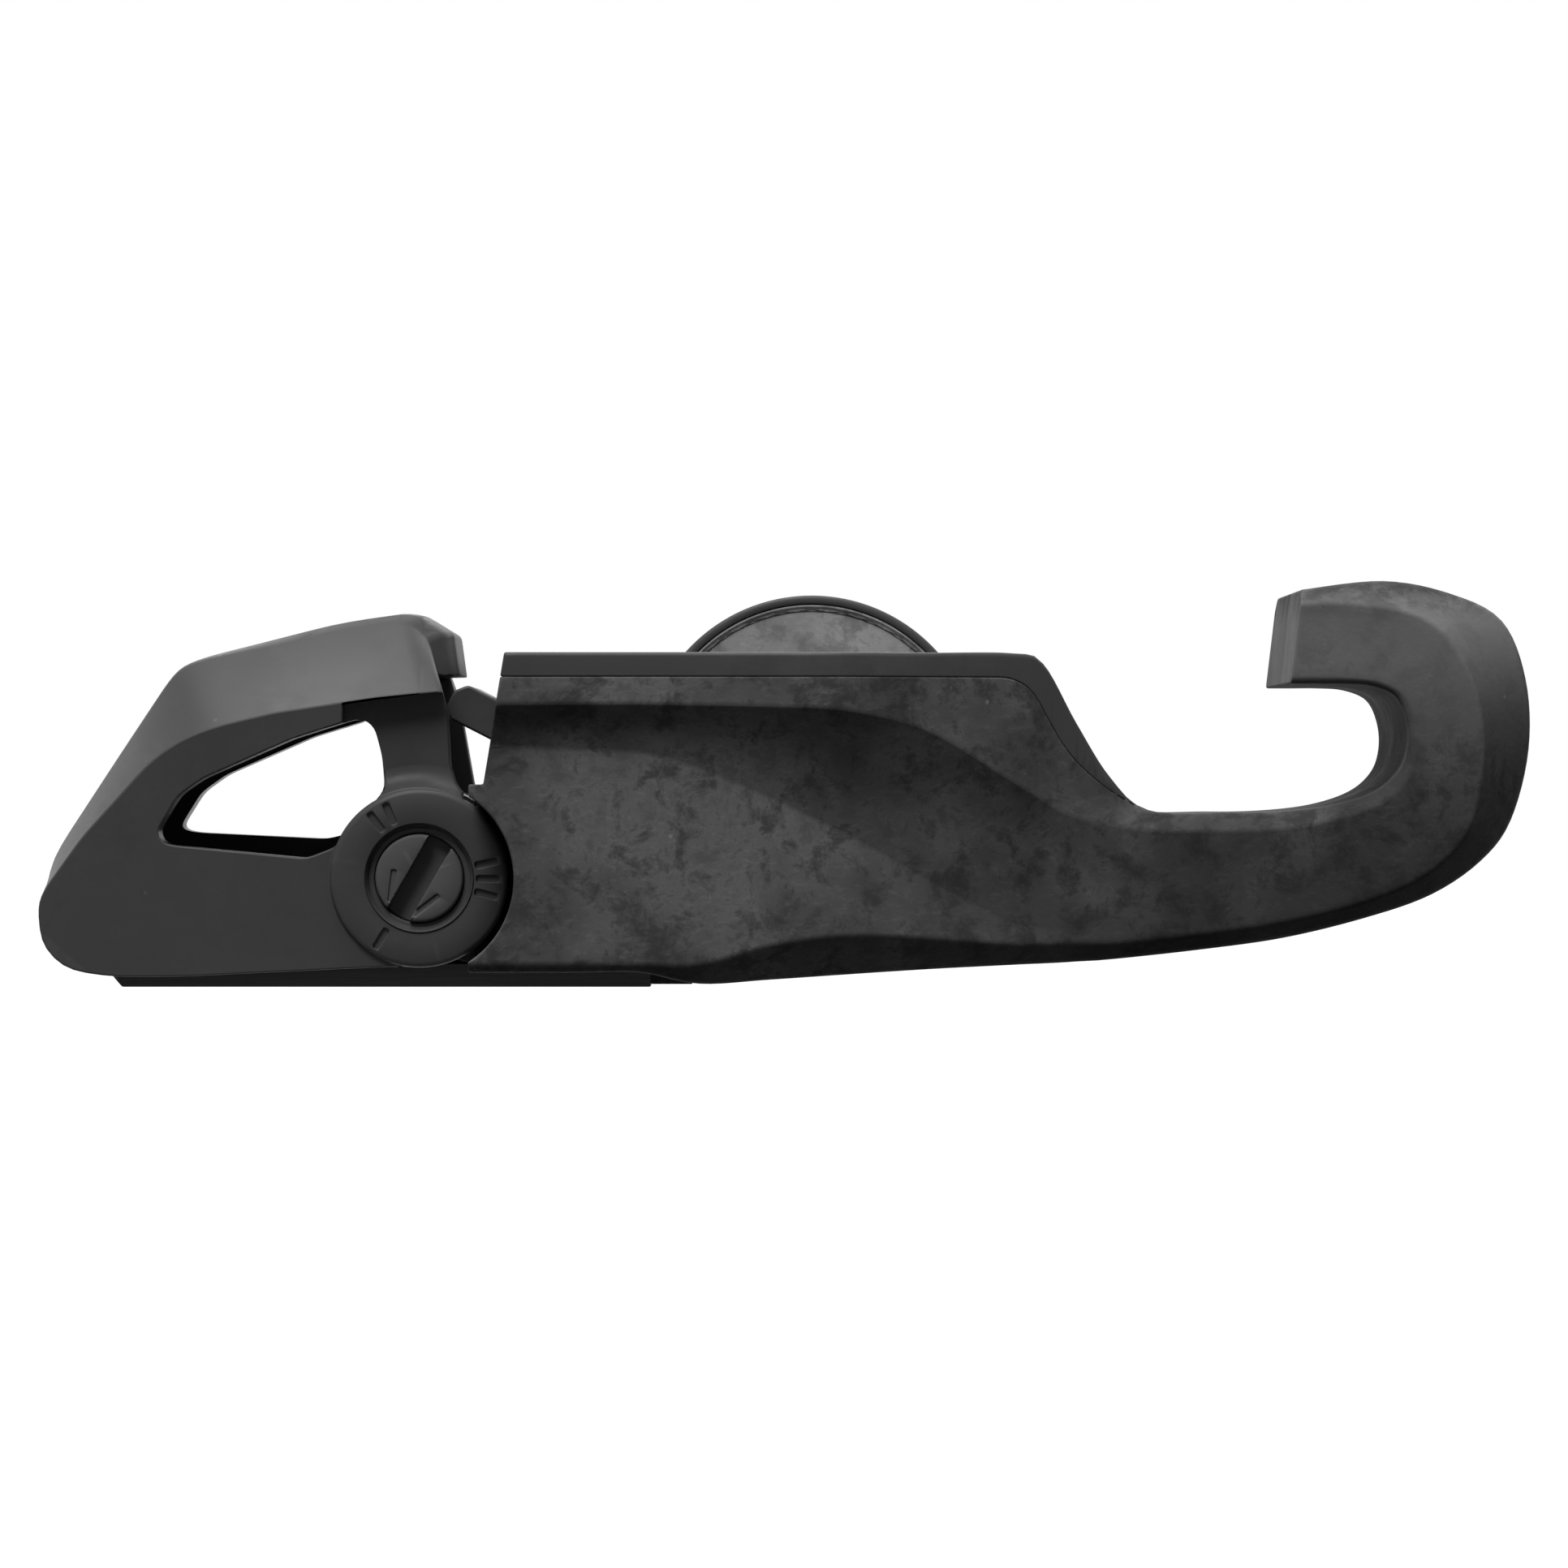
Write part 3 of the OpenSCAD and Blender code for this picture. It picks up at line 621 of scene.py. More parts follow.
# Long side of the frame in which the points are written
LONG_SIDE = 1568
LANDMARKS: dict[str, Landmark] = {
    "boss_crest": Landmark((811.6, 592.8), "boss_band", (0, -1), 400),
    "dial_centre": Landmark((419.6, 878.1), "dial_head"),
    "hook_tip_corner": Landmark((1266.6, 688.0), "body_shell", (-1, 1)),
    "claw_flank_corner": Landmark((441.6, 692.9), "arm_shell", (1, 1), 6),
    "claw_front": Landmark((466.8, 677.3), "arm_shell", (1, 0.4), 16),
    "plate_rear_corner": Landmark((504.6, 652.6), "contact_plate", (-1, -1)),
    "blade_tail": Landmark((121.3, 985.9), "leaf_blade", (-1, 1)),
    "blade_front": Landmark((650.4, 986.5), "leaf_blade", (1, 1)),
    "mark_one": Landmark((380.9, 938.8), "arm_shell", (0, 0), 30),
    "mark_two": Landmark((382.6, 817.5), "arm_shell", (0, 0), 30),
    "mark_three": Landmark((487.9, 879.0), "arm_shell", (0, 0), 30),
}
EDGES: dict[str, float] = {"left_x": 38.7, "right_x": 1529.9, "top_y": 580.9, "bottom_y": 986.9}


class Viewpoint:
    """The photograph's camera, and where its image points fall on the pedal."""

    lens = 211.96
    sensor = 36.0
    location = Vector((-0.00208, -0.720, -0.00147))
    # How near to a thing's surface, in metres, a place still counts as on it
    skin_depth = 4e-5
    # Distance in metres from which a place off a carrier is looked for, and in how many steps
    first_guess = 0.65
    tries = 8

    def __init__(self) -> None:
        """Makes the scene's camera, which looks straight along Y."""
        data = bpy.data.cameras.new("camera")
        data.lens, data.sensor_width, data.sensor_fit = self.lens, self.sensor, "AUTO"
        data.clip_start, data.clip_end = 0.05, 20
        camera = bpy.data.objects.new("camera", data)
        camera.location, camera.rotation_euler = self.location, (math.radians(90), 0, 0)
        bpy.context.scene.collection.objects.link(camera)
        bpy.context.scene.camera = camera
        self.turn = camera.rotation_euler.to_matrix()

    def ray(self, x: float, y: float) -> Vector:
        """Direction from the camera through an image point."""
        half = LONG_SIDE / 2
        return self.turn @ Vector((x - half, half - y, -LONG_SIDE * self.lens / self.sensor))

    def shown_at(self, place: Vector) -> Flat:
        """Image point at which a place in metres shows.

        Args:
            place: The place in metres.

        Returns:
            The image point.
        """
        local = self.turn.transposed() @ (place - self.location)
        scale = LONG_SIDE * self.lens / self.sensor / -local.z
        return LONG_SIDE / 2 + local.x * scale, LONG_SIDE / 2 - local.y * scale

    def place(self, at: Flat, carrier: BVHTree) -> Vector:
        """The place on a carrier at which an image point falls, or the place nearest its ray.

        Args:
            at: The image point.
            carrier: Tree of what carries the piece, in metres.

        Returns:
            The place in metres.
        """
        heading = self.ray(*at).normalized()
        hit = carrier.ray_cast(self.location, heading)[0]
        if hit is not None:
            return hit
        near = self.location + heading * self.first_guess
        for _ in range(self.tries):
            nearest = carrier.find_nearest(near)[0]
            near = self.location + heading * max((nearest - self.location).dot(heading), 0.0)
        return nearest

    def measure(self, mark_places: dict[str, Vector]) -> dict[str, dict[str, float]]:
        """How far in x and y each thing shows from its image point.

        Args:
            mark_places: Middles of the dial's marks in metres, by name.

        Returns:
            Offsets in pixels by name.
        """
        graph = bpy.context.evaluated_depsgraph_get()
        shown: dict[str, list[tuple[Flat, Vector]]] = {}
        trees = []
        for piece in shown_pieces():
            mesh = piece.evaluated_get(graph).to_mesh()
            tree = bmesh.new()
            tree.from_mesh(mesh)
            trees.append(BVHTree.FromBMesh(tree))
            shown[piece.name] = [(self.shown_at(v.co), v.co.copy()) for v in tree.verts]
            tree.free()
        for points in shown.values():
            points[:] = [p for p in points if not self._hidden(p[1], trees)]
        every = [at for points in shown.values() for at, _ in points]
        report = {
            "left_x": {"x": min(p[0] for p in every) - EDGES["left_x"]},
            "right_x": {"x": max(p[0] for p in every) - EDGES["right_x"]},
            "top_y": {"y": min(p[1] for p in every) - EDGES["top_y"]},
            "bottom_y": {"y": max(p[1] for p in every) - EDGES["bottom_y"]},
        }
        for name, mark in LANDMARKS.items():
            near = [p for p, _ in shown[mark.piece] if math.dist(p, mark.at) < mark.reach] or [mark.at]
            if name in mark_places:
                at = self.shown_at(mark_places[name])
            elif mark.toward is None:
                at = tuple((min(p[i] for p in near) + max(p[i] for p in near)) / 2 for i in (0, 1))
            else:
                at = max(near, key=lambda p: p[0] * mark.toward[0] + p[1] * mark.toward[1])
            report[name] = {"x": at[0] - mark.at[0], "y": at[1] - mark.at[1]}
        return {
            name: {axis: round(value, 1) for axis, value in row.items()} for name, row in report.items()
        }

    def _hidden(self, place: Vector, trees: Sequence[BVHTree]) -> bool:
        """Whether something stands between the camera and a place.

        Args:
            place: The place in metres.
            trees: Trees of all the pieces.

        Returns:
            Whether it does.
        """
        way = place - self.location
        reach, heading = way.length - self.skin_depth, way.normalized()
        return any(tree.ray_cast(self.location, heading, reach)[0] is not None for tree in trees)


# ------------------------------------------------------------------ finishes


class Nodes:
    """Short calls for the nodes of one tree."""

    def __init__(self, tree: bpy.types.NodeTree) -> None:
        """Works on a material's or a group's tree."""
        self.tree = tree

    def feed(self, node: Node, inputs: dict[str | int, object]) -> Node:
        """Sets some inputs of a node.

        Args:
            node: The node.
            inputs: Values or sockets to link, by the input's name or number.

        Returns:
            The node itself.
        """
        for key, value in inputs.items():
            if isinstance(value, Socket):
                self.tree.links.new(value, node.inputs[key])
            else:
                node.inputs[key].default_value = value
        return node

    def add(self, kind: str, inputs: dict[str | int, object] | None = None, **settings: object) -> Node:
        """Adds a node.

        Args:
            kind: The node's type.
            inputs: Values or sockets to link, by the input's name or number.
            settings: Its other properties.

        Returns:
            The node.
        """
        node = self.tree.nodes.new(kind)
        for name, value in settings.items():
            setattr(node, name, value)
        return self.feed(node, inputs or {})

    def shared(self, name: str, inputs: dict[str | int, object]) -> bpy.types.bpy_prop_collection:
        """Places a shared group with its own inputs, and returns its outputs."""
        return self.add("ShaderNodeGroup", inputs, node_tree=Shared.get(name)).outputs

    def maths(self, operation: str, *values: object, clamp: bool = False) -> Socket:
        """The result of a Math node."""
        node = self.add("ShaderNodeMath", dict(enumerate(values)), operation=operation, use_clamp=clamp)
        return node.outputs[0]

    def times(self, first: object, second: object, clamp: bool = False) -> Socket:
        """The product of two values."""
        return self.maths("MULTIPLY", first, second, clamp=clamp)

    def plus(self, first: object, second: object, clamp: bool = False) -> Socket:
        """The sum of two values."""
        return self.maths("ADD", first, second, clamp=clamp)

    def less(self, first: object, second: object, clamp: bool = False) -> Socket:
        """The first value less the second."""
        return self.maths("SUBTRACT", first, second, clamp=clamp)

    def mix(self, factor: object, first: object, second: object) -> Socket:
        """A blend of two colours."""
        return self.add("ShaderNodeMix", {0: factor, 6: first, 7: second}, data_type="RGBA").outputs[2]

    def spread(
        self, value: object, low: float, high: float, to_low: float = 0.0, to_high: float = 1.0
    ) -> Socket:
        """Maps a value smoothly from one range to another.

        Args:
            value: The value.
            low: Where its range begins.
            high: Where its range ends.
            to_low: What low becomes.
            to_high: What high becomes.

        Returns:
            The mapped value.
        """
        ends = {0: value, 1: low, 2: high, 3: to_low, 4: to_high}
        return self.add("ShaderNodeMapRange", ends, interpolation_type="SMOOTHSTEP").outputs[0]

    def noise(
        self, where: Socket, scale: object, detail: float, rough: float, distortion: float = 0.0
    ) -> Socket:
        """The value of a Noise Texture.

        Args:
            where: The place that it reads.
            scale: Its scale.
            detail: How many octaves it adds up.
            rough: How strong the finer octaves are.
            distortion: How far it is swirled.

        Returns:
            The value.
        """
        inputs = {"Vector": where, "Scale": scale, "Detail": detail, "Roughness": rough}
        return self.add("ShaderNodeTexNoise", {**inputs, "Distortion": distortion}).outputs[0]

    def stretched(self, where: Socket, scale: Sequence[float], turn: Sequence[float] = (0, 0, 0)) -> Socket:
        """Places turned and then stretched for a pattern."""
        return self.add("ShaderNodeMapping", {"Vector": where, "Rotation": turn, "Scale": scale}).outputs[0]

    def relief(self, height: Socket, strength: float, depth: float) -> Socket:
        """The normal of a surface with that height, depth metres deep."""
        inputs = {"Strength": strength, "Distance": depth, "Height": height}
        return self.add("ShaderNodeBump", inputs).outputs[0]


WHITE = (1.0, 1.0, 1.0, 1.0)


def grey(level: float, warmth: float = 0.0) -> tuple[float, float, float, float]:
    """A near-neutral colour; warmth moves it from blue to yellow."""
    return (level * (1 + warmth), level, level * (1 - warmth), 1.0)


def marbling(nodes: Nodes, given: Node) -> dict[str, Socket]:
    """Clouds, torn flakes and fine strands of chopped fibre in a moulded part.

    Args:
        nodes: The group's nodes.
        given: Its input node.

    Returns:
        The sockets for its outputs.
    """
    where, size, depth = (given.outputs[name] for name in ("Where", "Flake size", "Depth"))
    fine = nodes.maths("DIVIDE", 1.0, size)
    cloud = nodes.noise(where, nodes.times(fine, 0.17), 3.0, 0.55)
    flake = nodes.noise(where, nodes.times(fine, 0.55), 10.0, 0.74, 0.3)
    lean = nodes.stretched(where, (1.0, 1.0, 2.2), (0.5, 0.9, 0.3))
    strand = nodes.noise(lean, nodes.times(fine, 1.7), 6.0, 0.7, 0.3)
    ridge = nodes.less(1.0, nodes.times(nodes.maths("ABSOLUTE", nodes.less(flake, 0.5)), 9.0), clamp=True)
    patches = nodes.spread(cloud, 0.38, 0.62)
    torn = nodes.spread(flake, 0.43, 0.62)
    threads = nodes.spread(strand, 0.5, 0.68)
    wisps = nodes.times(ridge, nodes.plus(nodes.times(patches, 0.45), 0.1))
    mixed = nodes.plus(nodes.plus(nodes.times(torn, 0.3), wisps), nodes.times(threads, 0.2))
    tone = nodes.plus(mixed, nodes.times(patches, 0.12), clamp=True)
    colour = nodes.mix(nodes.times(tone, depth, clamp=True), given.outputs["Dark"], given.outputs["Light"])
    height = nodes.plus(nodes.times(torn, 0.6), nodes.times(threads, 0.4))
    return {"Colour": colour, "Tone": tone, "Height": height}


def fine_grain(nodes: Nodes, given: Node) -> dict[str, Socket]:
    """Spark-eroded or blasted grain with a few specks, for roughness and relief.

    Args:
        nodes: The group's nodes.
        given: Its input node.

    Returns:
        The sockets for its outputs.
    """
    where = given.outputs["Where"]
    fine = nodes.maths("DIVIDE", 1.0, given.outputs["Grain size"])
    grain = nodes.noise(where, fine, 2.0, 0.7)
    broad = nodes.noise(where, nodes.times(fine, 0.03), 3.0, 0.5)
    cells = {"Vector": where, "Scale": nodes.times(fine, 0.13), "Randomness": 1.0}
    specks = nodes.add("ShaderNodeTexVoronoi", cells).outputs
    chance = nodes.add("ShaderNodeSeparateColor", {0: specks["Color"]}).outputs[0]
    kept = nodes.times(nodes.spread(specks["Distance"], 0.09, 0.03), nodes.maths("GREATER_THAN", chance, 0.8))
    return {"Grain": grain, "Broad": broad, "Specks": kept}


def rubbed_and_highlit_edges(nodes: Nodes, given: Node) -> dict[str, Socket]:
    """Where handling has polished the corners, a lightening that also paints highlights along the sharp edges.

    Args:
        nodes: The group's nodes.
        given: Its input node.

    Returns:
        The socket for its output.
    """
    bend = nodes.add("ShaderNodeNewGeometry").outputs["Pointiness"]
    patchy = nodes.noise(given.outputs["Where"], 420.0, 4.0, 0.7)
    # Lighter where the surface bends sharply: part rubbed wear, part painted edge highlight
    worn_and_highlit = nodes.times(nodes.spread(bend, 0.52, 0.62), nodes.spread(patchy, 0.35, 0.7))
    return {"Mask": nodes.times(worn_and_highlit, given.outputs["Amount"], clamp=True)}


@dataclass(frozen=True)
class Recipe:
    """What a shader node group takes and gives, and what fills it."""

    takes: dict[str, tuple[str, object]]
    gives: dict[str, str]
    fill: Callable[[Nodes, Node], dict[str, Socket]]

    def group(self, name: str) -> bpy.types.NodeTree:
        """Makes the group.

        Args:
            name: Its name.

        Returns:
            The group.
        """
        kinds = {"value": "NodeSocketFloat", "vector": "NodeSocketVector", "colour": "NodeSocketColor"}
        tree = bpy.data.node_groups.new(name, "ShaderNodeTree")
        for label, (kind, default) in self.takes.items():
            socket = tree.interface.new_socket(label, in_out="INPUT", socket_type=kinds[kind])
            if default is not None:
                socket.default_value = default
        for label, kind in self.gives.items():
            tree.interface.new_socket(label, in_out="OUTPUT", socket_type=kinds[kind])
        nodes = Nodes(tree)
        nodes.add("NodeGroupOutput", self.fill(nodes, nodes.add("NodeGroupInput")))
        return tree


class Shared:
    """The node groups that several finishes use, each built once."""

    recipes: dict[str, Recipe] = {
        "fibre_marbling": Recipe(
            {
                "Where": ("vector", None), "Flake size": ("value", 0.003), "Depth": ("value", 1.0),
                "Dark": ("colour", grey(0.01)), "Light": ("colour", grey(0.05)),
            },
            {"Colour": "colour", "Tone": "value", "Height": "value"}, marbling,
        ),
        "fine_grain": Recipe(
            {"Where": ("vector", None), "Grain size": ("value", 0.0003)},
            {"Grain": "value", "Broad": "value", "Specks": "value"}, fine_grain,
        ),
        "rubbed_and_highlit_edges": Recipe(
            {"Where": ("vector", None), "Amount": ("value", 0.5)}, {"Mask": "value"}, rubbed_and_highlit_edges,
        ),
    }
    _made: dict[str, bpy.types.NodeTree] = {}

    @classmethod
    def get(cls, name: str) -> bpy.types.NodeTree:
        """The group of that name, built at its first use.

        Args:
            name: The group's name.

        Returns:
            The group.
        """
        if name not in cls._made:
            cls._made[name] = cls.recipes[name].group(name)
        return cls._made[name]


@dataclass(frozen=True)
class Finish:
    """Base of every finish, which makes one new material."""

    name: str

    def start(self) -> tuple[Material, Nodes, Node, Socket]:
        """Begins the material.

        Returns:
            The material, its nodes, its Principled shader and its object coordinates.
        """
        material = bpy.data.materials.new(self.name)
        material.use_nodes = True
        nodes = Nodes(material.node_tree)
        shader = material.node_tree.nodes["Principled BSDF"]
        return material, nodes, shader, nodes.add("ShaderNodeTexCoord").outputs["Object"]


@dataclass(frozen=True)
class MouldedComposite(Finish):
    """Black chopped-fibre composite, marbled where its skin is bare."""

    dark: float = 0.034
    light: float = 0.116
    depth: float = 1.0
    flake: float = 0.0016
    gloss: tuple[float, float] = (0.5, 0.64)
    specular: float = 0.01
    grain: float = 0.00032
    grain_depth: float = 0.00004
    wear_and_edge_light: float = 0.25
    # Tones of the specks and of the rubbed corners with their painted edge highlights, as shares of the light one
    speck_tone: float = 2.4
    worn_and_highlit_tone: float = 1.5
    # Whether painted shade darkens the thin front arm and painted light brightens the hook above it
    painted_front_shading: bool = False

    def paint_front_shading(self, nodes: Nodes, where: Socket, ground: Socket) -> Socket:
        """Paints shade onto the front arm and light onto the hook above it.

        Args:
            nodes: The material's nodes.
            where: Its object coordinates.
            ground: Its colour so far.

        Returns:
            The colour.
        """
        place = nodes.add("ShaderNodeSeparateXYZ", {0: where}).outputs
        ahead = nodes.spread(place[0], 0.015, 0.026)
        above = nodes.spread(place[2], -0.003, 0.009)
        # Painted shade on the front arm low down, painted light on the hook's face above it, short of its crest
        painted_arm_shade = nodes.times(ahead, nodes.less(1.0, above))
        painted_hook_light = nodes.times(ahead, nodes.less(above, nodes.spread(place[2], 0.0095, 0.0125)))
        # Dark grey for the painted shade, light grey for the painted light
        ground = nodes.mix(nodes.times(painted_arm_shade, 0.5), ground, grey(0.012))
        return nodes.mix(nodes.times(painted_hook_light, 0.55), ground, grey(0.15))

    def build(self) -> Material:
        """Makes the material.

        Returns:
            The material.
        """
        material, nodes, shader, where = self.start()
        marble = nodes.shared("fibre_marbling", {
            "Where": where, "Flake size": self.flake, "Depth": self.depth,
            "Dark": grey(self.dark), "Light": grey(self.light),
        })
        grain = nodes.shared("fine_grain", {"Where": where, "Grain size": self.grain})
        # Mask of rubbed wear and painted edge highlight
        worn_and_highlit = nodes.shared("rubbed_and_highlit_edges", {"Where": where, "Amount": self.wear_and_edge_light})["Mask"]
        ground = self.paint_front_shading(nodes, where, marble["Colour"]) if self.painted_front_shading else marble["Colour"]
        specked = nodes.mix(nodes.times(grain["Specks"], 0.28), ground, grey(self.light * self.speck_tone))
        rough = nodes.plus(nodes.times(marble["Tone"], 0.5), nodes.times(grain["Grain"], 0.5))
        height = nodes.plus(nodes.times(marble["Height"], 0.5 * self.depth), nodes.times(grain["Grain"], 0.5))
        nodes.feed(shader, {
            "Base Color": nodes.mix(worn_and_highlit, specked, grey(self.light * self.worn_and_highlit_tone)),
            "Roughness": nodes.spread(rough, 0.2, 0.8, self.gloss[1], self.gloss[0]),
            "Specular IOR Level": self.specular,
            "Normal": nodes.relief(height, 0.35, self.grain_depth),
        })
        return material


@dataclass(frozen=True)
class WovenBlade(Finish):
    """Pressed carbon blade whose fibres run along the pedal under a thin resin skin."""

    def build(self) -> Material:
        """Makes the material.

        Returns:
            The material.
        """
        material, nodes, shader, where = self.start()
        along = nodes.stretched(where, (0.03, 1.0, 1.0))
        fibre = nodes.noise(along, 5200.0, 3.0, 0.7)
        tow = nodes.noise(along, 620.0, 2.0, 0.5, 0.3)
        grain = nodes.shared("fine_grain", {"Where": where, "Grain size": 0.0004})
        fibres, tows = nodes.spread(fibre, 0.35, 0.7), nodes.spread(tow, 0.4, 0.62)
        tone = nodes.plus(nodes.times(fibres, 0.55), nodes.times(tows, 0.45))
        rough = nodes.plus(tone, nodes.times(grain["Broad"], 0.4))
        nodes.feed(shader, {
            "Base Color": nodes.mix(tone, grey(0.003), grey(0.014)),
            "Roughness": nodes.spread(rough, 0.1, 1.2, 0.48, 0.33),
            "Specular IOR Level": 0.15,
            "Normal": nodes.relief(fibre, 0.25, 0.00003),
        })
        return material


class Lay(Enum):
    """Which way the marks of the last machining run."""

    TURNED = "turned about the spindle"
    TUMBLED = "no direction"
    DRAWN = "along the wire"


@dataclass(frozen=True)
class Metal(Finish):
    """Machined metal with tool marks, patchy tone, and rubbed corners that also paint highlights along its edges.
    """

    colour: tuple[float, float, float] = (0.55, 0.55, 0.56)
    gloss: tuple[float, float] = (0.2, 0.38)
    lay: Lay = Lay.TUMBLED
    wear_and_edge_light: float = 0.4

    def marks(self, nodes: Nodes, where: Socket, grain: Socket) -> Socket:
        """Makes the tool marks.

        Args:
            nodes: The material's nodes.
            where: Its object coordinates.
            grain: What stands for marks without a direction.

        Returns:
            Their height.
        """
        if self.lay is Lay.TURNED:
            x, y, z = nodes.add("ShaderNodeSeparateXYZ", {0: where}).outputs
            squares = nodes.plus(nodes.maths("POWER", x, 2.0), nodes.maths("POWER", z, 2.0))
            radius = nodes.maths("SQRT", squares)
            rows = {0: nodes.plus(y, radius), 1: nodes.times(radius, 0.2)}
            return nodes.noise(nodes.add("ShaderNodeCombineXYZ", rows).outputs[0], 7000.0, 3.0, 0.7)
        if self.lay is Lay.DRAWN:
            return nodes.noise(nodes.stretched(where, (1.0, 0.05, 1.0)), 6000.0, 2.0, 0.6)
        return grain

    def build(self) -> Material:
        """Makes the material.

        Returns:
            The material.
        """
        material, nodes, shader, where = self.start()
        grain = nodes.shared("fine_grain", {"Where": where, "Grain size": 0.0005})
        # Mask of rubbed wear and painted edge highlight
        worn_and_highlit = nodes.shared("rubbed_and_highlit_edges", {"Where": where, "Amount": self.wear_and_edge_light})["Mask"]
        marks = self.marks(nodes, where, grain["Grain"])
        base = (*self.colour, 1.0)
        dull = (*[c * 0.72 for c in self.colour], 1.0)
        bright = (*[min(1.0, c * 1.3 + 0.04) for c in self.colour], 1.0)
        toned = nodes.mix(nodes.spread(grain["Broad"], 0.35, 0.7), dull, base)
        rough = nodes.plus(nodes.times(marks, 0.6), nodes.times(grain["Broad"], 0.4))
        nodes.feed(shader, {
            "Base Color": nodes.mix(worn_and_highlit, toned, bright),
            "Metallic": 1.0,
            "Roughness": nodes.spread(rough, 0.25, 0.75, *self.gloss),
            "Normal": nodes.relief(marks, 0.2, 0.00002),
        })
        return material


@dataclass(frozen=True)
class Rubber(Finish):
    """Moulded rubber with a dusty bloom."""

    def build(self) -> Material:
        """Makes the material.

        Returns:
            The material.
        """
        material, nodes, shader, where = self.start()
        grain = nodes.shared("fine_grain", {"Where": where, "Grain size": 0.00025})
        bloom = nodes.spread(grain["Broad"], 0.45, 0.75, 0.0, 0.6)
        nodes.feed(shader, {
            "Base Color": nodes.mix(bloom, grey(0.008), grey(0.022, 0.05)),
            "Roughness": nodes.spread(grain["Grain"], 0.3, 0.7, 0.62, 0.8),
            "Specular IOR Level": 0.3,
            "Normal": nodes.relief(grain["Grain"], 0.4, 0.00003),
        })
        return material


@dataclass(frozen=True)
class Palette:
    """Every finish of the pedal, built once."""

    forged: Material
    pale: Material
    satin: Material
    dial: Material
    blade: Material
    spindle_steel: Material
    bearing_steel: Material
    spring_steel: Material
    black_steel: Material
    alloy: Material
    bronze: Material
    brass: Material
    rubber: Material

    @classmethod
    def make(cls) -> Palette:
        """Builds the materials.

        Returns:
            The palette.
        """
        turned, drawn = Lay.TURNED, Lay.DRAWN
        finishes = dict(
            # The forged composite carries painted shade on the front arm and painted light on the hook
            forged=MouldedComposite("forged_composite", painted_front_shading=True),
            # A lighter copy of the forged composite for the boss: painted light
            pale=MouldedComposite("pale_composite_painted_light", dark=0.09, light=0.21, specular=0.03),
            satin=MouldedComposite(
                "satin_composite", dark=0.036, light=0.052, depth=0.8, flake=0.008,
                gloss=(0.36, 0.44), specular=0.08, grain_depth=0.00002, wear_and_edge_light=0.35,
            ),
            dial=MouldedComposite(
                "dial_composite", dark=0.06, light=0.084, depth=0.7, flake=0.008,
                gloss=(0.4, 0.5), specular=0.06, grain_depth=0.000015, wear_and_edge_light=0.5,
            ),
            blade=WovenBlade("carbon_blade"),
            spindle_steel=Metal("spindle_steel", (0.28, 0.28, 0.29), (0.22, 0.38), turned),
            bearing_steel=Metal("bearing_steel", (0.62, 0.62, 0.63), (0.08, 0.2), turned, 0.1),
            spring_steel=Metal("spring_steel", (0.42, 0.41, 0.4), (0.25, 0.4), drawn, 0.2),
            black_steel=Metal("black_oxide_steel", (0.05, 0.05, 0.055), (0.3, 0.48), wear_and_edge_light=0.55),
            alloy=Metal("anodised_alloy", (0.045, 0.045, 0.048), (0.32, 0.46), wear_and_edge_light=0.3),
            bronze=Metal("bronze_bush", (0.45, 0.27, 0.12), (0.25, 0.42), wear_and_edge_light=0.3),
            brass=Metal("brass_cage", (0.6, 0.42, 0.16), (0.25, 0.4), wear_and_edge_light=0.2),
            rubber=Rubber("seal_rubber"),
        )
        return cls(**{name: finish.build() for name, finish in finishes.items()})


# ------------------------------------------------------------------ body and contact plate


Rib = tuple[float, ...]


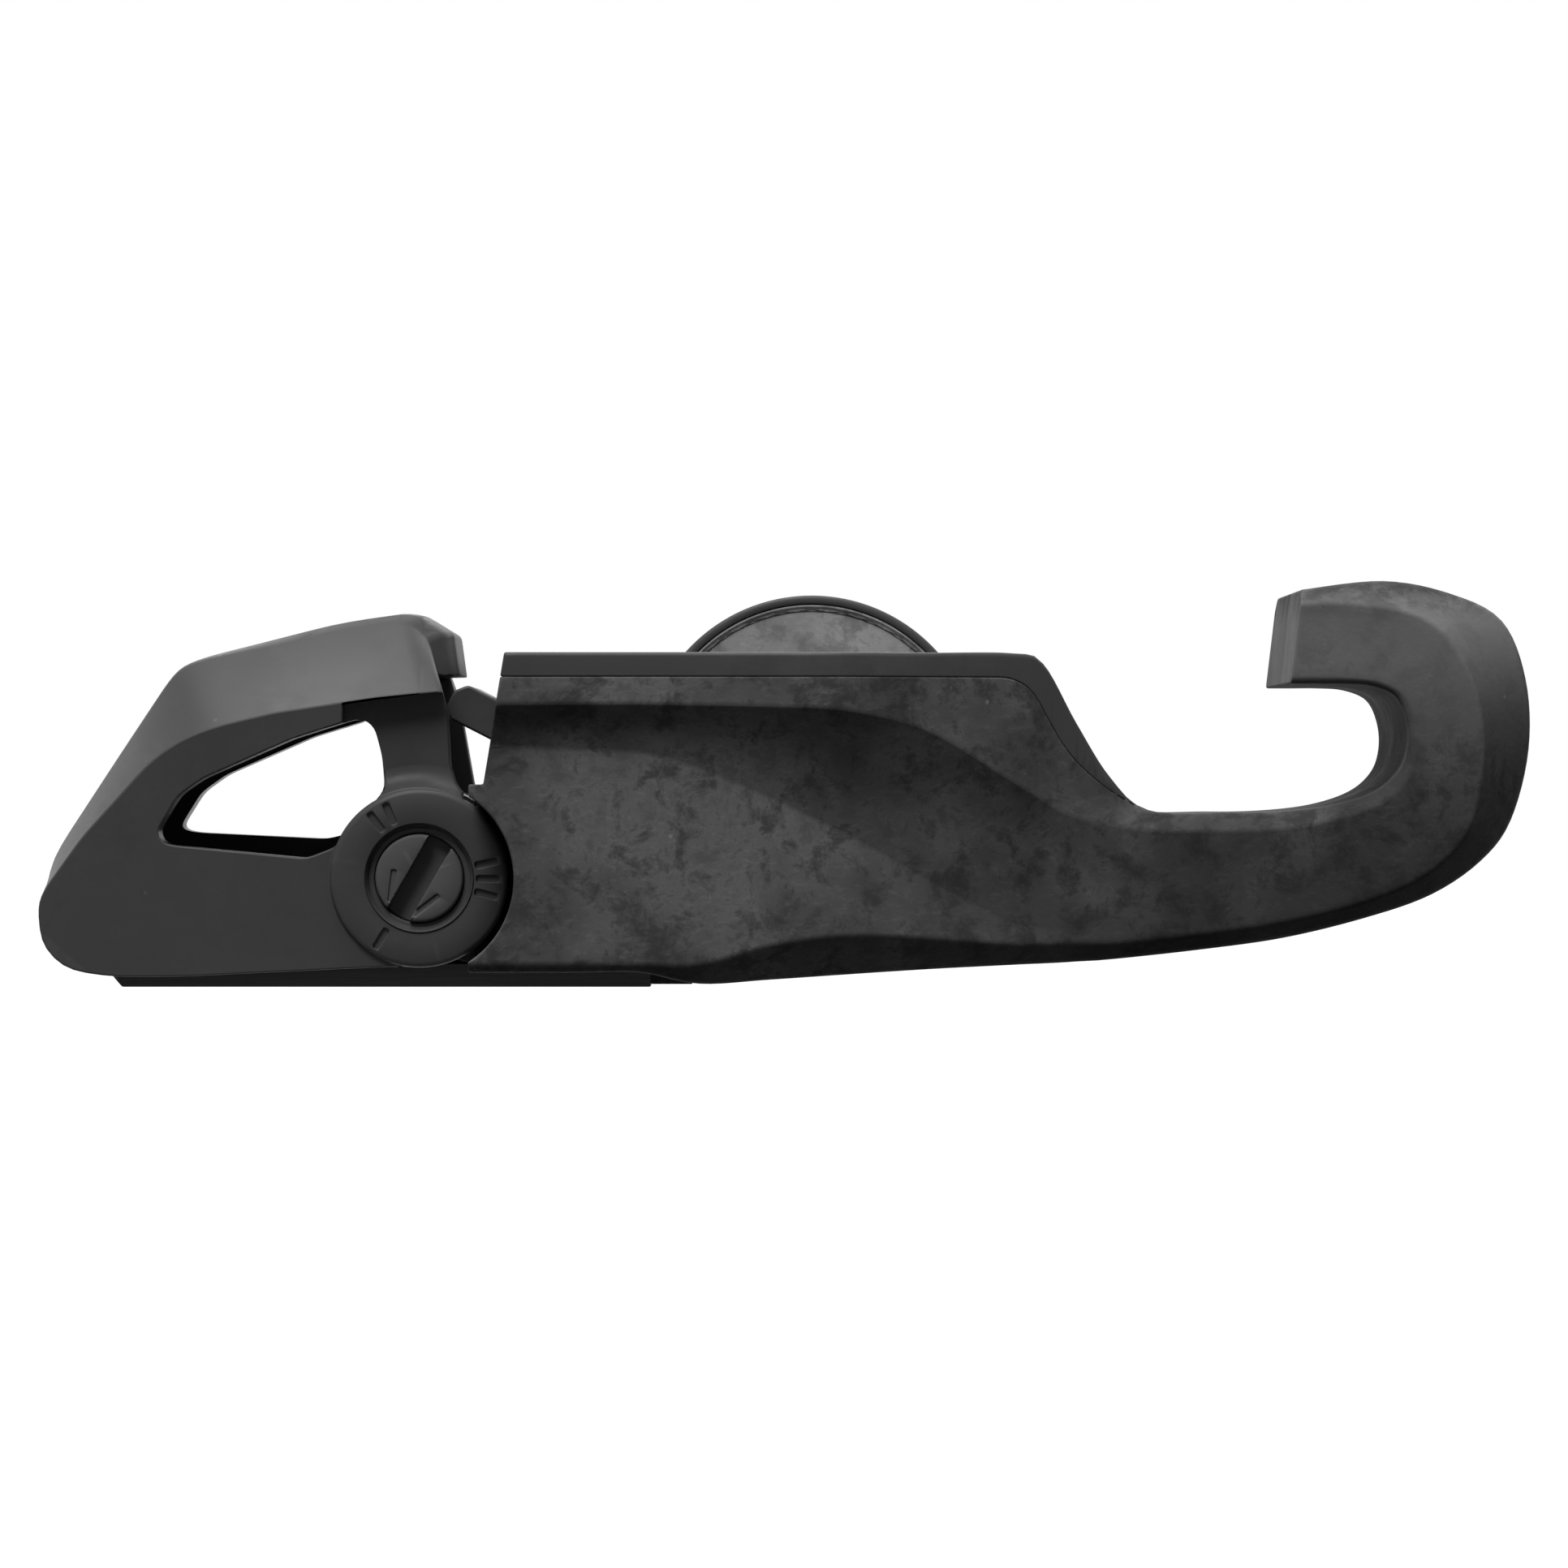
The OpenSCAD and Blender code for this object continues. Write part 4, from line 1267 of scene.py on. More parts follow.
@dataclass(frozen=True)
class Skin:
    """The outer skin that the body and the contact plate are cut from.

    Each rib is the section from a point on the top line to a point on the bottom line, with three
    edges on its flank. Its numbers are top x, top z, bottom x, bottom z, then for the lip's edge,
    the panel's upper edge and the panel's lower edge the share of the way down and the share of
    the platform's flare, then how far the top and bottom edges are drawn in.
    """

    datum: Datum
    arm_half: float = 17
    spacing: float = 0.8
    # How far from each edge of the flank its round begins, from the top edge down
    rounds: tuple[float, ...] = (0.3, 0.22, 0.3, 0.3, 0.5)
    # How much of an edge's neighbours a round may take up
    round_share: float = 0.42
    # How far the undercut and the panel below it sag inwards, as shares of their height
    hollow: tuple[float, float] = (0.07, -0.006)
    # Height of the hook's underside, and how thick the contact plate's band is at its edge
    hook_top: float = 5.6
    plate_thick: float = 1.7
    # Radius and inner half width of the space that the rear arm's cheeks turn in
    cheek_room: tuple[float, float] = (6.85, 11.9)
    # The rear face: its gap to the platform's end, how far it slopes back, and its foot above the pivot
    rear_gap: float = 0.35
    rear_slope: float = 1.5
    shelf_rise: float = 6.6

    def ribs(self) -> list[Rib]:
        """The ribs from the rear of the body forward and round the hook.

        Returns:
            The ribs in order.
        """
        d = self.datum
        top, nose, hook = d.top, d.nose, self.hook_top

        def upright(x: float, low: float, lip: Flat, panel: Flat, foot: Flat, drawn: float) -> Rib:
            """An upright rib, its three edges given as (height, share of the flare)."""
            shares = [value for z, f in (lip, panel, foot) for value in ((top - z) / (top - low), f)]
            return (x, top, x, low, *shares, 0.2, drawn)

        rear, base = d.pivot[0] + 3.7, d.leaf_top - 0.4
        return [
            upright(rear, base, (4.1, 1), (1.4, 0.8), (-14, 0.95), 0.5),
            upright(-20.6, base, (4.12, 1), (1.2, 0.795), (-14, 0.947), 0.5),
            upright(-16.3, base, (4.14, 1), (1, 0.79), (-14, 0.943), 0.5),
            upright(-12.1, base, (4.15, 1), (0.8, 0.785), (-14.05, 0.94), 0.6),
            upright(-8, d.sole + 0.5, (4.1, 1), (-0.3, 0.755), (-14.05, 0.92), 1.2),
            upright(-3, d.sole + 0.76, (4, 1), (-2.4, 0.68), (-12.7, 0.86), 2),
            upright(2.4, d.sole + 1.1, (3.7, 1), (-5, 0.58), (-12, 0.76), 2.4),
            upright(8, d.sole + 1.42, (2.3, 0.7), (-8.1, 0.4), (-12.3, 0.49), 2),
            upright(13.9, d.sole + 1.68, (-1.2, 0.4), (-11.2, 0.16), (-12.8, 0.2), 1.6),
            (16.1, top - 0.7, 15.2, -14.17, 0.44, 0.28, 0.87, 0.1, 0.935, 0.12, 0.3, 1.4),
            (18.5, top - 4.9, 17, -14.1, 0.378, 0.15, 0.85, 0.04, 0.92, 0.05, 0.4, 1.3),
            (20.9, -1, 18.7, -14, 0.248, 0.06, 0.82, 0, 0.9, 0, 0.5, 1.2),
            (23.6, -3.3, 21, -13.85, 0.13, 0, 0.7, 0, 0.89, 0, 0.9, 1.2),
            (29, -3.5, 27, -13.2, 0.13, 0, 0.6, 0, 0.88, 0, 0.9, 1.2),
            (33.3, -3.4, 33.1, -12.35, 0.13, 0, 0.6, 0, 0.87, 0, 0.9, 1.4),
            (36.9, -2.95, 38.9, -10.95, 0.11, 0, 0.6, 0, 0.86, 0, 0.9, 1.7),
            (39.7, -2, nose - 7.4, -9.3, 0.1, 0, 0.58, 0, 0.82, 0, 0.8, 2.2),
            (41.3, -0.6, nose - 3.8, -6.9, 0.08, 0, 0.5, 0, 0.75, 0, 0.6, 3),
            (41.9, 1.1, nose - 1.6, -4, 0.06, 0, 0.4, 0, 0.66, 0, 0.4, 4),
            (41.8, 3, nose - 0.3, 1, 0.06, 0, 0.35, 0, 0.6, 0, 0.3, 4.6),
            (41, hook - 0.9, nose - 0.5, 6, 0.05, 0, 0.3, 0, 0.58, 0, 0.3, 4.8),
            (39.3, hook - 0.15, nose - 2.2, 10.1, 0.05, 0, 0.25, 0, 0.6, 0, 0.3, 4.6),
            (37.3, hook, nose - 5.9, 12, 0.05, 0, 0.4, 0, 0.72, 0, 0.3, 3.4),
            (35.4, hook, 40.3, 12.9, 0.05, 0, 0.5, 0, 0.76, 0, 0.3, 2.8),
            (33.6, hook, 34.4, 12.25, 0.05, 0, 0.6, 0, 0.86, 0, 0.3, 1.6),
        ]

    @staticmethod
    def between(ribs: Sequence[Rib], k: float) -> Rib:
        """The rib at place k on the smooth curve through them.

        Args:
            ribs: The ribs.
            k: Place among them; whole numbers are the ribs themselves.

        Returns:
            The rib there.
        """
        last = len(ribs) - 1
        i = min(int(k), last - 1)
        t = k - i
        a, b, c, d = ribs[max(i - 1, 0)], ribs[i], ribs[i + 1], ribs[min(i + 2, last)]
        return tuple(
            0.5 * (2 * q + (r - p) * t + (2 * p - 5 * q + 4 * r - s) * t**2 + (3 * q - p - 3 * r + s) * t**3)
            for p, q, r, s in zip(a, b, c, d)
        )

    def section(self, rib: Rib) -> list[Vector]:
        """The closed ring of a rib, its edges rounded and its undercut hollowed.

        Args:
            rib: The rib.

        Returns:
            Points of the ring, in order.
        """
        flare = self.datum.platform_half - self.arm_half
        high, low = Vector((rib[0], 0, rib[1])), Vector((rib[2], 0, rib[3]))
        length = (low - high).length
        halves = [self.arm_half + flare * rib[i] for i in (5, 7, 9)]
        corners = [
            (0, halves[0] - rib[10]), (rib[4] * length, halves[0]), (rib[6] * length, halves[1]),
            (rib[8] * length, halves[2]), (length, halves[2] - rib[11]),
        ]
        ends = [Vector(p) for p in ((0, 0), *corners, (length, 0))]
        starts, stops = [], []
        for reach, back, here, ahead in zip(self.rounds, ends, ends[1:], ends[2:]):
            for goal, points in ((back, starts), (ahead, stops)):
                way = goal - here
                points.append(here + way.normalized() * min(reach, way.length * self.round_share))
        flank: Outline = []
        for i, (start, here, stop) in enumerate(zip(starts, ends[1:], stops)):
            flank += [
                tuple(start * (1 - t) ** 2 + here * (2 * t * (1 - t)) + stop * t**2)
                for t in (0, 0.33, 0.67, 1)
            ]
            if i in (1, 2):
                way = starts[i + 1] - stop
                inward = Vector((way.y, -way.x)).normalized()
                sag = way.length * self.hollow[i - 1] * min(1.0, abs(rib[3 + 2 * i] - rib[5 + 2 * i]) * 5)
                flank += [tuple(stop + way * t + inward * (sag * 4 * t * (1 - t))) for t in (0.25, 0.5, 0.75)]
        down = (low - high).normalized()
        right = [high + down * s + Vector((0, self.datum.mid_y + w, 0)) for s, w in flank]
        left = [Vector((p.x, 2 * self.datum.mid_y - p.y, p.z)) for p in reversed(right)]
        return right + left

    def blank(self) -> Blank:
        """The whole skin as a solid.

        Returns:
            The solid.
        """
        ribs = self.ribs()
        places: list[float] = []
        for i, (a, b) in enumerate(zip(ribs, ribs[1:])):
            span = max(math.dist(a[:2], b[:2]), math.dist(a[2:4], b[2:4]))
            count = max(2, round(span / self.spacing))
            places += [i + k / count for k in range(count)]
        return Blank.loft([self.section(self.between(ribs, k)) for k in [*places, len(ribs) - 1]])

    def plate_band(self) -> Blank:
        """The band that belongs to the contact plate: the flat, then the ramp down to the arm.

        Returns:
            The band, as wide as the tools are.
        """
        under = self.datum.top - self.plate_thick
        line = [(-40, 20), (-40, under), (13.9, under), (15.4, under - 0.9), (17.6, under - 5)]
        line += [(19.8, -1.2), (23.1, -3.4), (26, -2), (26, 20)]
        return Blank.prism(rounded(line, [1, 1, 1, 1.2, 2, 1.5, 1.5, 1, 1], 4), *self.datum.across(FAR))

    def rear_space(self) -> list[Blank]:
        """What the rear of the pedal leaves open for the rear arm.

        Returns:
            Tools that cut it: the wedge over the shelf, and a gap on each side for a cheek.
        """
        d = self.datum
        rear, shelf = d.platform_rear + self.rear_gap, d.pivot[1] + self.shelf_rise
        wedge = [(BEHIND, 20), (rear, 20), (rear, d.top), (rear - self.rear_slope, shelf), (BEHIND, shelf)]
        radius, inner = self.cheek_room
        gaps = [
            Blank.rod(d.pivot, radius, d.mid_y + inner, d.mid_y + FAR, 128),
            Blank.rod(d.pivot, radius, d.mid_y - FAR, d.mid_y - inner, 128),
        ]
        return [Blank.prism(wedge, *d.across(FAR)), *gaps]


@dataclass(frozen=True)
class PedalBody:
    """Moulded body: the shell with its front arm and hook, the boss round the spindle, and the arm's lug."""

    datum: Datum
    skin: Skin
    pocket_half: float = 9.8
    pocket_floor: float = -2.65
    pocket_front: float = 4.6
    lug_half: float = 11.9
    # Room round the blade, and radius of the hole for the spindle
    blade_gap: float = 0.3
    axle_bore: float = 5.02
    # Half width of the room for the cam, and its radius in the shell and in the lug
    cam_half: float = 4.1
    cam_room: tuple[float, float] = (6.6, 6.7)
    boss_length: float = 10.5
    # Width and depth of the band round the boss
    band: tuple[float, float] = (0.62, 1.2)

    def shell(self, finish: Material) -> Object:
        """The shell, from the rear shelf to the hook's tip.

        Args:
            finish: Its material.

        Returns:
            The piece.
        """
        d = self.datum
        front = d.trigger_pivot[0] + self.pocket_front
        floor = d.trigger_pivot[1] + self.pocket_floor
        pocket = [(BEHIND, d.top + 2), (front, d.top + 2), (front, floor), (BEHIND, floor)]
        seat, gap = d.leaf_front + self.blade_gap, d.across(d.leaf_half + self.blade_gap)
        near, far = d.across(d.leaf_half)
        blank = self.skin.blank().fit(
            Fit.CUT,
            self.skin.plate_band(),
            *self.skin.rear_space(),
            Blank.prism(pocket, *d.across(self.pocket_half)),
            Blank.block((BEHIND, gap[0], d.sole - 5), (seat, gap[1], d.leaf_top)),
            Blank.rod((0, 0), self.axle_bore, d.spindle_out - 1.5, d.boss_in + 5),
            Blank.rod(d.pivot, self.cam_room[0], *d.across(self.cam_half)),
        )
        blank.fit(Fit.JOIN, Blank.block((seat, near, d.sole + 0.2), (seat + 3, far, d.sole + 3.2)))
        blank.soften(0.13)
        return blank.finish("body_shell", "body", finish, "fibre_composite", "pedal_body")

    def boss(self, finish: Material) -> Object:
        """The round boss and the housing behind it, bored for the collar and the bearing.

        Args:
            finish: Its material.

        Returns:
            The piece.
        """
        d = self.datum
        r, near, far = d.boss_r, d.boss_in, d.boss_in - self.boss_length
        wide, deep = self.band
        bore, edge, rim = 5.1, 0.6, r - wide
        profile = [
            (bore, far - 14), (r - 1.2, far - 14), (r - 1.2, far + 0.1), (rim - 0.36, far + 0.1),
            (rim - 0.26, far), (rim - 0.16, far), (rim - 0.01, far + 0.3), (rim - 0.01, far + deep + 0.01),
            (r, far + deep + 0.01), (r, near - edge), (r - 0.15, near - 0.35), (r - edge, near),
            (11.2, near), (11.0, near - 0.2), (11.0, near - 3), (10.52, near - 3), (10.52, near - 8),
            (bore, near - 8),
        ]
        cone = [(0, far - 2.1), (r - 1.2, far + 0.09), (r - 1.15, far - 0.05), (20, far - 0.05)]
        dish = Blank.lathe([*cone, (20, far + 5), (0, far + 5)])
        under = Blank.block((-30, far - 20, d.top - 1.72), (30, far + 0.1, d.top + 20)).fit(Fit.CUT, dish)
        blank = Blank.lathe(profile, closed=True, steps=160).fit(Fit.CUT, under)
        blank.soften(0.07, 40)
        return blank.finish("axle_boss", "body", finish, "fibre_composite", "pedal_body")

    def boss_band(self, finish: Material) -> Object:
        """The smooth band round the boss's outer edge, whose darker satin finish paints the shade at the boss's
        rim.

        Args:
            finish: Its material.

        Returns:
            The piece.
        """
        far, r = self.datum.boss_in - self.boss_length, self.datum.boss_r
        wide, deep = self.band
        profile = [
            (r - wide, far + deep), (r - wide, far + 0.05), (r - wide + 0.1, far), (r - 0.22, far),
            (r - 0.06, far + 0.08), (r, far + 0.24), (r, far + deep),
        ]
        blank = Blank.lathe(profile, closed=True, steps=160)
        return blank.finish("boss_band", "body", finish, "smooth_composite", "pedal_body")

    def lug(self, finish: Material) -> Object:
        """The lug that carries the rear arm's axle, slotted for the cam.

        Args:
            finish: Its material.

        Returns:
            The piece.
        """
        d = self.datum
        wide, eye, bore = d.across(self.lug_half), 5.3, 3.52
        web = moved([(0, eye), (8, 4.7), (8, -6.05), (3.4, -6.05), (0, -eye)], d.pivot)
        blank = Blank.rod(d.pivot, eye, *wide).fit(Fit.JOIN, Blank.prism(web, *wide))
        cam = Blank.rod(d.pivot, self.cam_room[1], *d.across(self.cam_half))
        blank.fit(Fit.CUT, cam, Blank.rod(d.pivot, bore, *d.across(CLEAR)))
        blank.soften(0.15)
        return blank.finish("arm_lug", "body", finish, "fibre_composite", "pedal_body")


@dataclass(frozen=True)
class ContactPlate:
    """The replaceable plate that the cleat slides on."""

    datum: Datum
    skin: Skin
    # How far each pair of screws is from the rear edge and from the sides
    screws: tuple[Flat, ...] = ((3.2, 6.5), (30.6, 9.5))
    hole_r: float = 1.3
    sink_r: float = 2.92

    def screw_places(self) -> list[Flat]:
        """Where the screws are.

        Returns:
            Their places in the plan view.
        """
        d = self.datum
        return [
            (d.platform_rear + x, d.mid_y + side * (d.platform_half - inset))
            for x, inset in self.screws for side in (-1, 1)
        ]

    def build(self, finish: Material) -> Object:
        """The plate, countersunk for its screws.

        Args:
            finish: Its material.

        Returns:
            The piece.
        """
        top, r = self.datum.top, self.hole_r
        holes = [Blank.post(x, y, (top - 6, r), (top + 1, r)) for x, y in self.screw_places()]
        sinks = [
            Blank.post(x, y, (top - 1.5, r + 0.02), (top + 0.1, self.sink_r)) for x, y in self.screw_places()
        ]
        blank = self.skin.blank().fit(Fit.KEEP, self.skin.plate_band())
        blank.fit(Fit.CUT, *self.skin.rear_space()[:1], *holes, *sinks)
        blank.soften(0.12)
        return blank.finish("contact_plate", "body", finish, "smooth_composite", "platform_plate")


# ------------------------------------------------------------------ rear arm and its adjuster


@dataclass(frozen=True)
class RearArm:
    """The sprung arm whose claw holds the cleat's tail. Outlines are in the side view, from its pivot."""

    datum: Datum
    half: float = 17
    crest_half: float = 10.5
    brow_half: float = 8.2
    cheek_inner: float = 12.5
    dial_r: float = 6.3
    middle: tuple[Flat, ...] = (
        (2.9, 11.5), (2.1, 17.4), (0, 18.7), (-1.3, 18.85), (-5.9, 18.2), (-15.7, 15.65), (-17.2, 15),
        (-18, 14.15), (-21.2, 9.3), (-26.2, 1.6), (-26.75, -0.5), (-26.9, -2.3), (-26.6, -4.75),
        (-24.9, -6.45), (-21.8, -6.95), (-17, -6.95), (-3.5, -6.3), (0, -6.2), (4, 0),
    )
    # How far the crest's shoulders lie below its middle, and behind it, corner by corner
    drop: tuple[float, ...] = (0.3, 0.5, 0.65, 0.8, 0.7, 0.14, 0.1, 0.08, 0.05, 0, 0, 0, 0, 0, 0, 0, 0, 0, 0)
    set_back: tuple[float, ...] = (0.9, 1.7, 0.85, 0.45, 0.1, 0, 0, 0, 0, 0, 0, 0, 0, 0, 0, 0, 0, 0, 0)
    cheek: tuple[Flat, ...] = (
        (1.8, 12.65), (1.5, 13.25), (-3.1, 12.75), (-10.3, 11.65), (-14.6, 10.65), (-17, 9.65), (-19, 8.2),
        (-21.6, 5.3), (-23.8, 2.9), (-25.2, 0.9), (-26.6, -1), (-26.9, -2.3), (-26.6, -4.75),
        (-24.9, -6.45), (-21.8, -6.95), (-17, -6.95), (-3.5, -6.3), (0, -6.2), (4, 0),
    )
    round_at: tuple[float, ...] = (
        0.15, 0.3, 0.3, 0.4, 2, 1.5, 1.2, 1.2, 2, 2, 1.2, 1.2, 1.4, 1.4, 1.4, 1.5, 1.5, 1, 1,
    )
    window: tuple[Flat, ...] = (
        (-18.5, 3.3), (-18.1, 2.5), (-17.3, 2.3), (-8, 1.4), (-5.9, 2.2), (-3.2, 5.3), (-2.5, 6.3),
        (-2.7, 8.6), (-3.2, 10.5), (-3.8, 11.1), (-4.6, 11.2), (-9, 9.8), (-15.3, 7), (-17, 5.8),
    )
    notch: tuple[Flat, ...] = ((8, 12.4), (1.9, 12.4), (2.1, 8), (2.5, 6.6), (3.2, 5.7), (5, 4.2), (8, 4))
    hollow: tuple[Flat, ...] = (
        (8, 14.4), (-0.8, 14.4), (-1.2, 15.2), (-8.7, 14.8), (-15.4, 13), (-18.5, 9.6), (-22.6, 3),
        (-23.6, -1), (-23.5, -12), (8, -12),
    )
    # The far cheek's own window and notch, which leave more of it below and ahead
    far_window: tuple[Flat, ...] = (
        (-18.7, 3.6), (-18.3, 3.2), (-17.3, 3.05), (-8, 2.6), (-5.9, 3.1), (-3.2, 5.5), (-2.5, 6.3),
        (-2.7, 8.6), (-3.2, 10.5), (-3.8, 11.35), (-4.6, 11.45), (-9, 10.1), (-15.4, 7.3), (-17.2, 6),
    )
    far_notch: tuple[Flat, ...] = (
        (8, 12.4), (1.95, 12.4), (2.5, 9.6), (3.2, 6.8), (4, 5.5), (5.4, 4.2), (8, 4),
    )
    # Points along the top, from the claw's front corner to the arm's tail
    top_points: int = 76
    # How far the column stands in from the cheek, and the radius of the sweep round the dial
    column_depth: float = 1.6
    sweep_r: float = 1.7
    # Length, width and depth of the dial's strokes, the turn between them, and the ring they lie in
    stroke: tuple[float, float, float] = (1.65, 0.5, 0.2)
    stroke_step: float = 13
    stroke_ring: tuple[float, float] = (3.95, 5.95)
    # Depth of the seat of the dial's head, and radius of the hole for its axle
    seat_depth: float = 1.72
    axle_hole: float = 2.55
    # Where the cheeks' faces are parted before the bevels, and the bevels on the arm and in the strokes
    seams: tuple[float, float] = (-8.03, 0.03)
    bevels: tuple[float, float] = (0.11, 0.05)

    def blank(self) -> Blank:
        """The arm before its openings: flat cheeks, a broad bevel and a crowned crest.

        Returns:
            The solid.
        """
        d = self.datum

        def ring(outline: Sequence[Flat]) -> Outline:
            """An outline with its corners rounded and its top evenly divided."""
            points = rounded(outline, self.round_at)
            return points[:8] + evenly(points[7:45], self.top_points)[1:-1] + points[44:]

        cheek, crest = ring(self.cheek), ring(self.middle)

        def lowered(back_share: float, fall_share: float) -> Outline:
            """The middle's ring, set back and lowered by shares of set_back and drop."""
            corners = zip(self.middle, self.drop, self.set_back)
            return ring([(x - back * back_share, z - fall * fall_share) for (x, z), fall, back in corners])

        shoulder = lowered(1, 1)

        band = self.half - self.crest_half
        slope = [
            (self.half - band * inward, [part_way(a, b, rise) for a, b in zip(cheek, shoulder)])
            for inward, rise in ((0.33, 0.38), (0.66, 0.71), (0.95, 0.965))
        ]
        side = [
            (self.half, cheek), *slope, (self.crest_half, shoulder),
            (self.crest_half - 0.9, lowered(0.45, 0.18)), (self.brow_half, lowered(0, 0.06)),
            (self.brow_half * 0.5, lowered(0, 0.02)), (0, crest),
        ]
        stations = [(-y, ring) for y, ring in side] + [(y, ring) for y, ring in reversed(side[:-1])]
        return Blank.loft([[(x, d.mid_y + y, z) for x, z in moved(ring, d.pivot)] for y, ring in stations])

    def recess(self) -> list[Blank]:
        """Tools that set the column in from the claw's flank, with a hollow sweep round the dial.

        Returns:
            The tools for the near side and the far side.
        """
        d, dial, r = self.datum, self.dial_r, self.sweep_r
        floor, face = self.half - self.column_depth, self.half + 5
        area = [(6, 3.4), (-5.4, 3.4), (-5.4, 12.27), (-3.1, 12.61), (1, 13.02), (6, 13.02)]
        area = rounded(area, 0.1)
        sweep = [(0, -face), (dial - 0.01, -face)]
        sweep += [
            (dial + r * (1 - math.cos(a)), -floor - r * (1 - math.sin(a)))
            for a in (math.radians(15 * k) for k in range(7))
        ]
        sweep += [(dial + r, -floor + 1), (0, -floor + 1)]
        near = Blank.prism(moved(area, d.pivot), d.mid_y - face, d.mid_y - floor)
        near.fit(Fit.CUT, Blank.lathe([(r, d.mid_y + y) for r, y in sweep], d.pivot))
        return [near, near.mirrored(d.mid_y)]

    def dial_boss(self) -> Blank:
        """The round boss that carries the dial, a little proud of the cheek.

        Returns:
            The solid.
        """
        d = self.datum
        face, r = d.dial_face, self.dial_r
        inner = d.mid_y - self.cheek_inner + 0.3
        edge = [(r, face + 0.38), (r - 0.12, face + 0.12), (r - 0.38, face)]
        return Blank.lathe([(0, inner), (r, inner), *edge, (0, face)], d.pivot, steps=160)

    def strokes(self, view: Viewpoint) -> tuple[list[Blank], dict[str, Vector]]:
        """Tools for the dial's one, two and three strokes, each row placed by its image point.

        Args:
            view: The photograph's viewpoint.

        Returns:
            The tools, and the middle of each row in metres.
        """
        d = self.datum
        face = self.dial_boss()
        bmesh.ops.scale(face.bm, verts=face.bm.verts, vec=(MM, MM, MM))
        carrier = BVHTree.FromBMesh(face.bm)
        length, width, depth = self.stroke
        bar = rounded([(x * length / 2, z * width / 2) for x, z in SQUARE], width * 0.4, 3)
        tools, middles = [], {}
        for count, name in enumerate(("mark_one", "mark_two", "mark_three"), start=1):
            spot = view.place(LANDMARKS[name].at, carrier)
            out, up = spot.x / MM - d.pivot[0], spot.z / MM - d.pivot[1]
            away, bearing = math.hypot(out, up), math.degrees(math.atan2(up, out))
            middles[name] = spot
            for k in range(count):
                place = moved(bar, (d.pivot[0] + away, d.pivot[1]))
                tool = Blank.prism(place, d.dial_face - 1, d.dial_face + depth)
                tools.append(tool.turned(bearing + (k - (count - 1) / 2) * self.stroke_step, d.pivot))
        return tools, middles

    def build(self, finish: Material, view: Viewpoint) -> dict[str, Vector]:
        """Builds the arm.

        Args:
            finish: Its material.
            view: The photograph's viewpoint.

        Returns:
            Where the dial's marks are, in metres.
        """
        d = self.datum
        inside = moved(rounded(self.hollow, 0.8), d.pivot)
        openings = [Blank.prism(inside, *d.across(self.cheek_inner))]
        for window, notch, start in ((self.window, self.notch, -20), (self.far_window, self.far_notch, 8)):
            for outline, turns in ((window, 0.55), (notch, [0.1, 0.2, 0.5, 0.5, 0.5, 0.5, 0.1])):
                outline = moved(rounded(outline, turns), d.pivot)
                openings.append(Blank.prism(outline, d.mid_y + start, d.mid_y + start + 12))
        openings.append(Blank.rod(d.pivot, self.dial_r - 0.25, *d.across(CLEAR)))
        arm = self.blank().fit(Fit.CUT, *self.recess(), *openings)
        strokes, middles = self.strokes(view)
        bore = d.dial_face + self.seat_depth
        rim = ((0, -1), (3.8, -1), (3.8, 0.02), (3.67, 0.15), (3.6, 0.46), (3.36, 0.52), (3.16, 0.5))
        rim = [(r, d.dial_face + y) for r, y in rim] + [(3.16, bore), (0, bore)]
        seats = [Blank.lathe(rim, d.pivot), Blank.rod(d.pivot, self.axle_hole, *d.across(CLEAR))]
        near = self.dial_boss().fit(Fit.CUT, *seats, *strokes)
        arm.fit(Fit.JOIN, near, self.dial_boss().fit(Fit.CUT, *seats).mirrored(d.mid_y))
        floor = d.dial_face + self.stroke[2] + 0.01
        ring_from, ring_to = self.stroke_ring

        def in_stroke(place: Vector) -> bool:
            """Whether a place belongs to one of the strokes."""
            return place.y < floor and ring_from < math.dist((place.x, place.z), d.pivot) < ring_to

        arm.parted(*(d.pivot[0] + x for x in self.seams))
        arm.soften(self.bevels[0], where=lambda place: not in_stroke(place))
        arm.soften(self.bevels[1], where=in_stroke)
        arm.finish("arm_shell", "claw", finish, "smooth_composite", "rear_arm")
        return middles


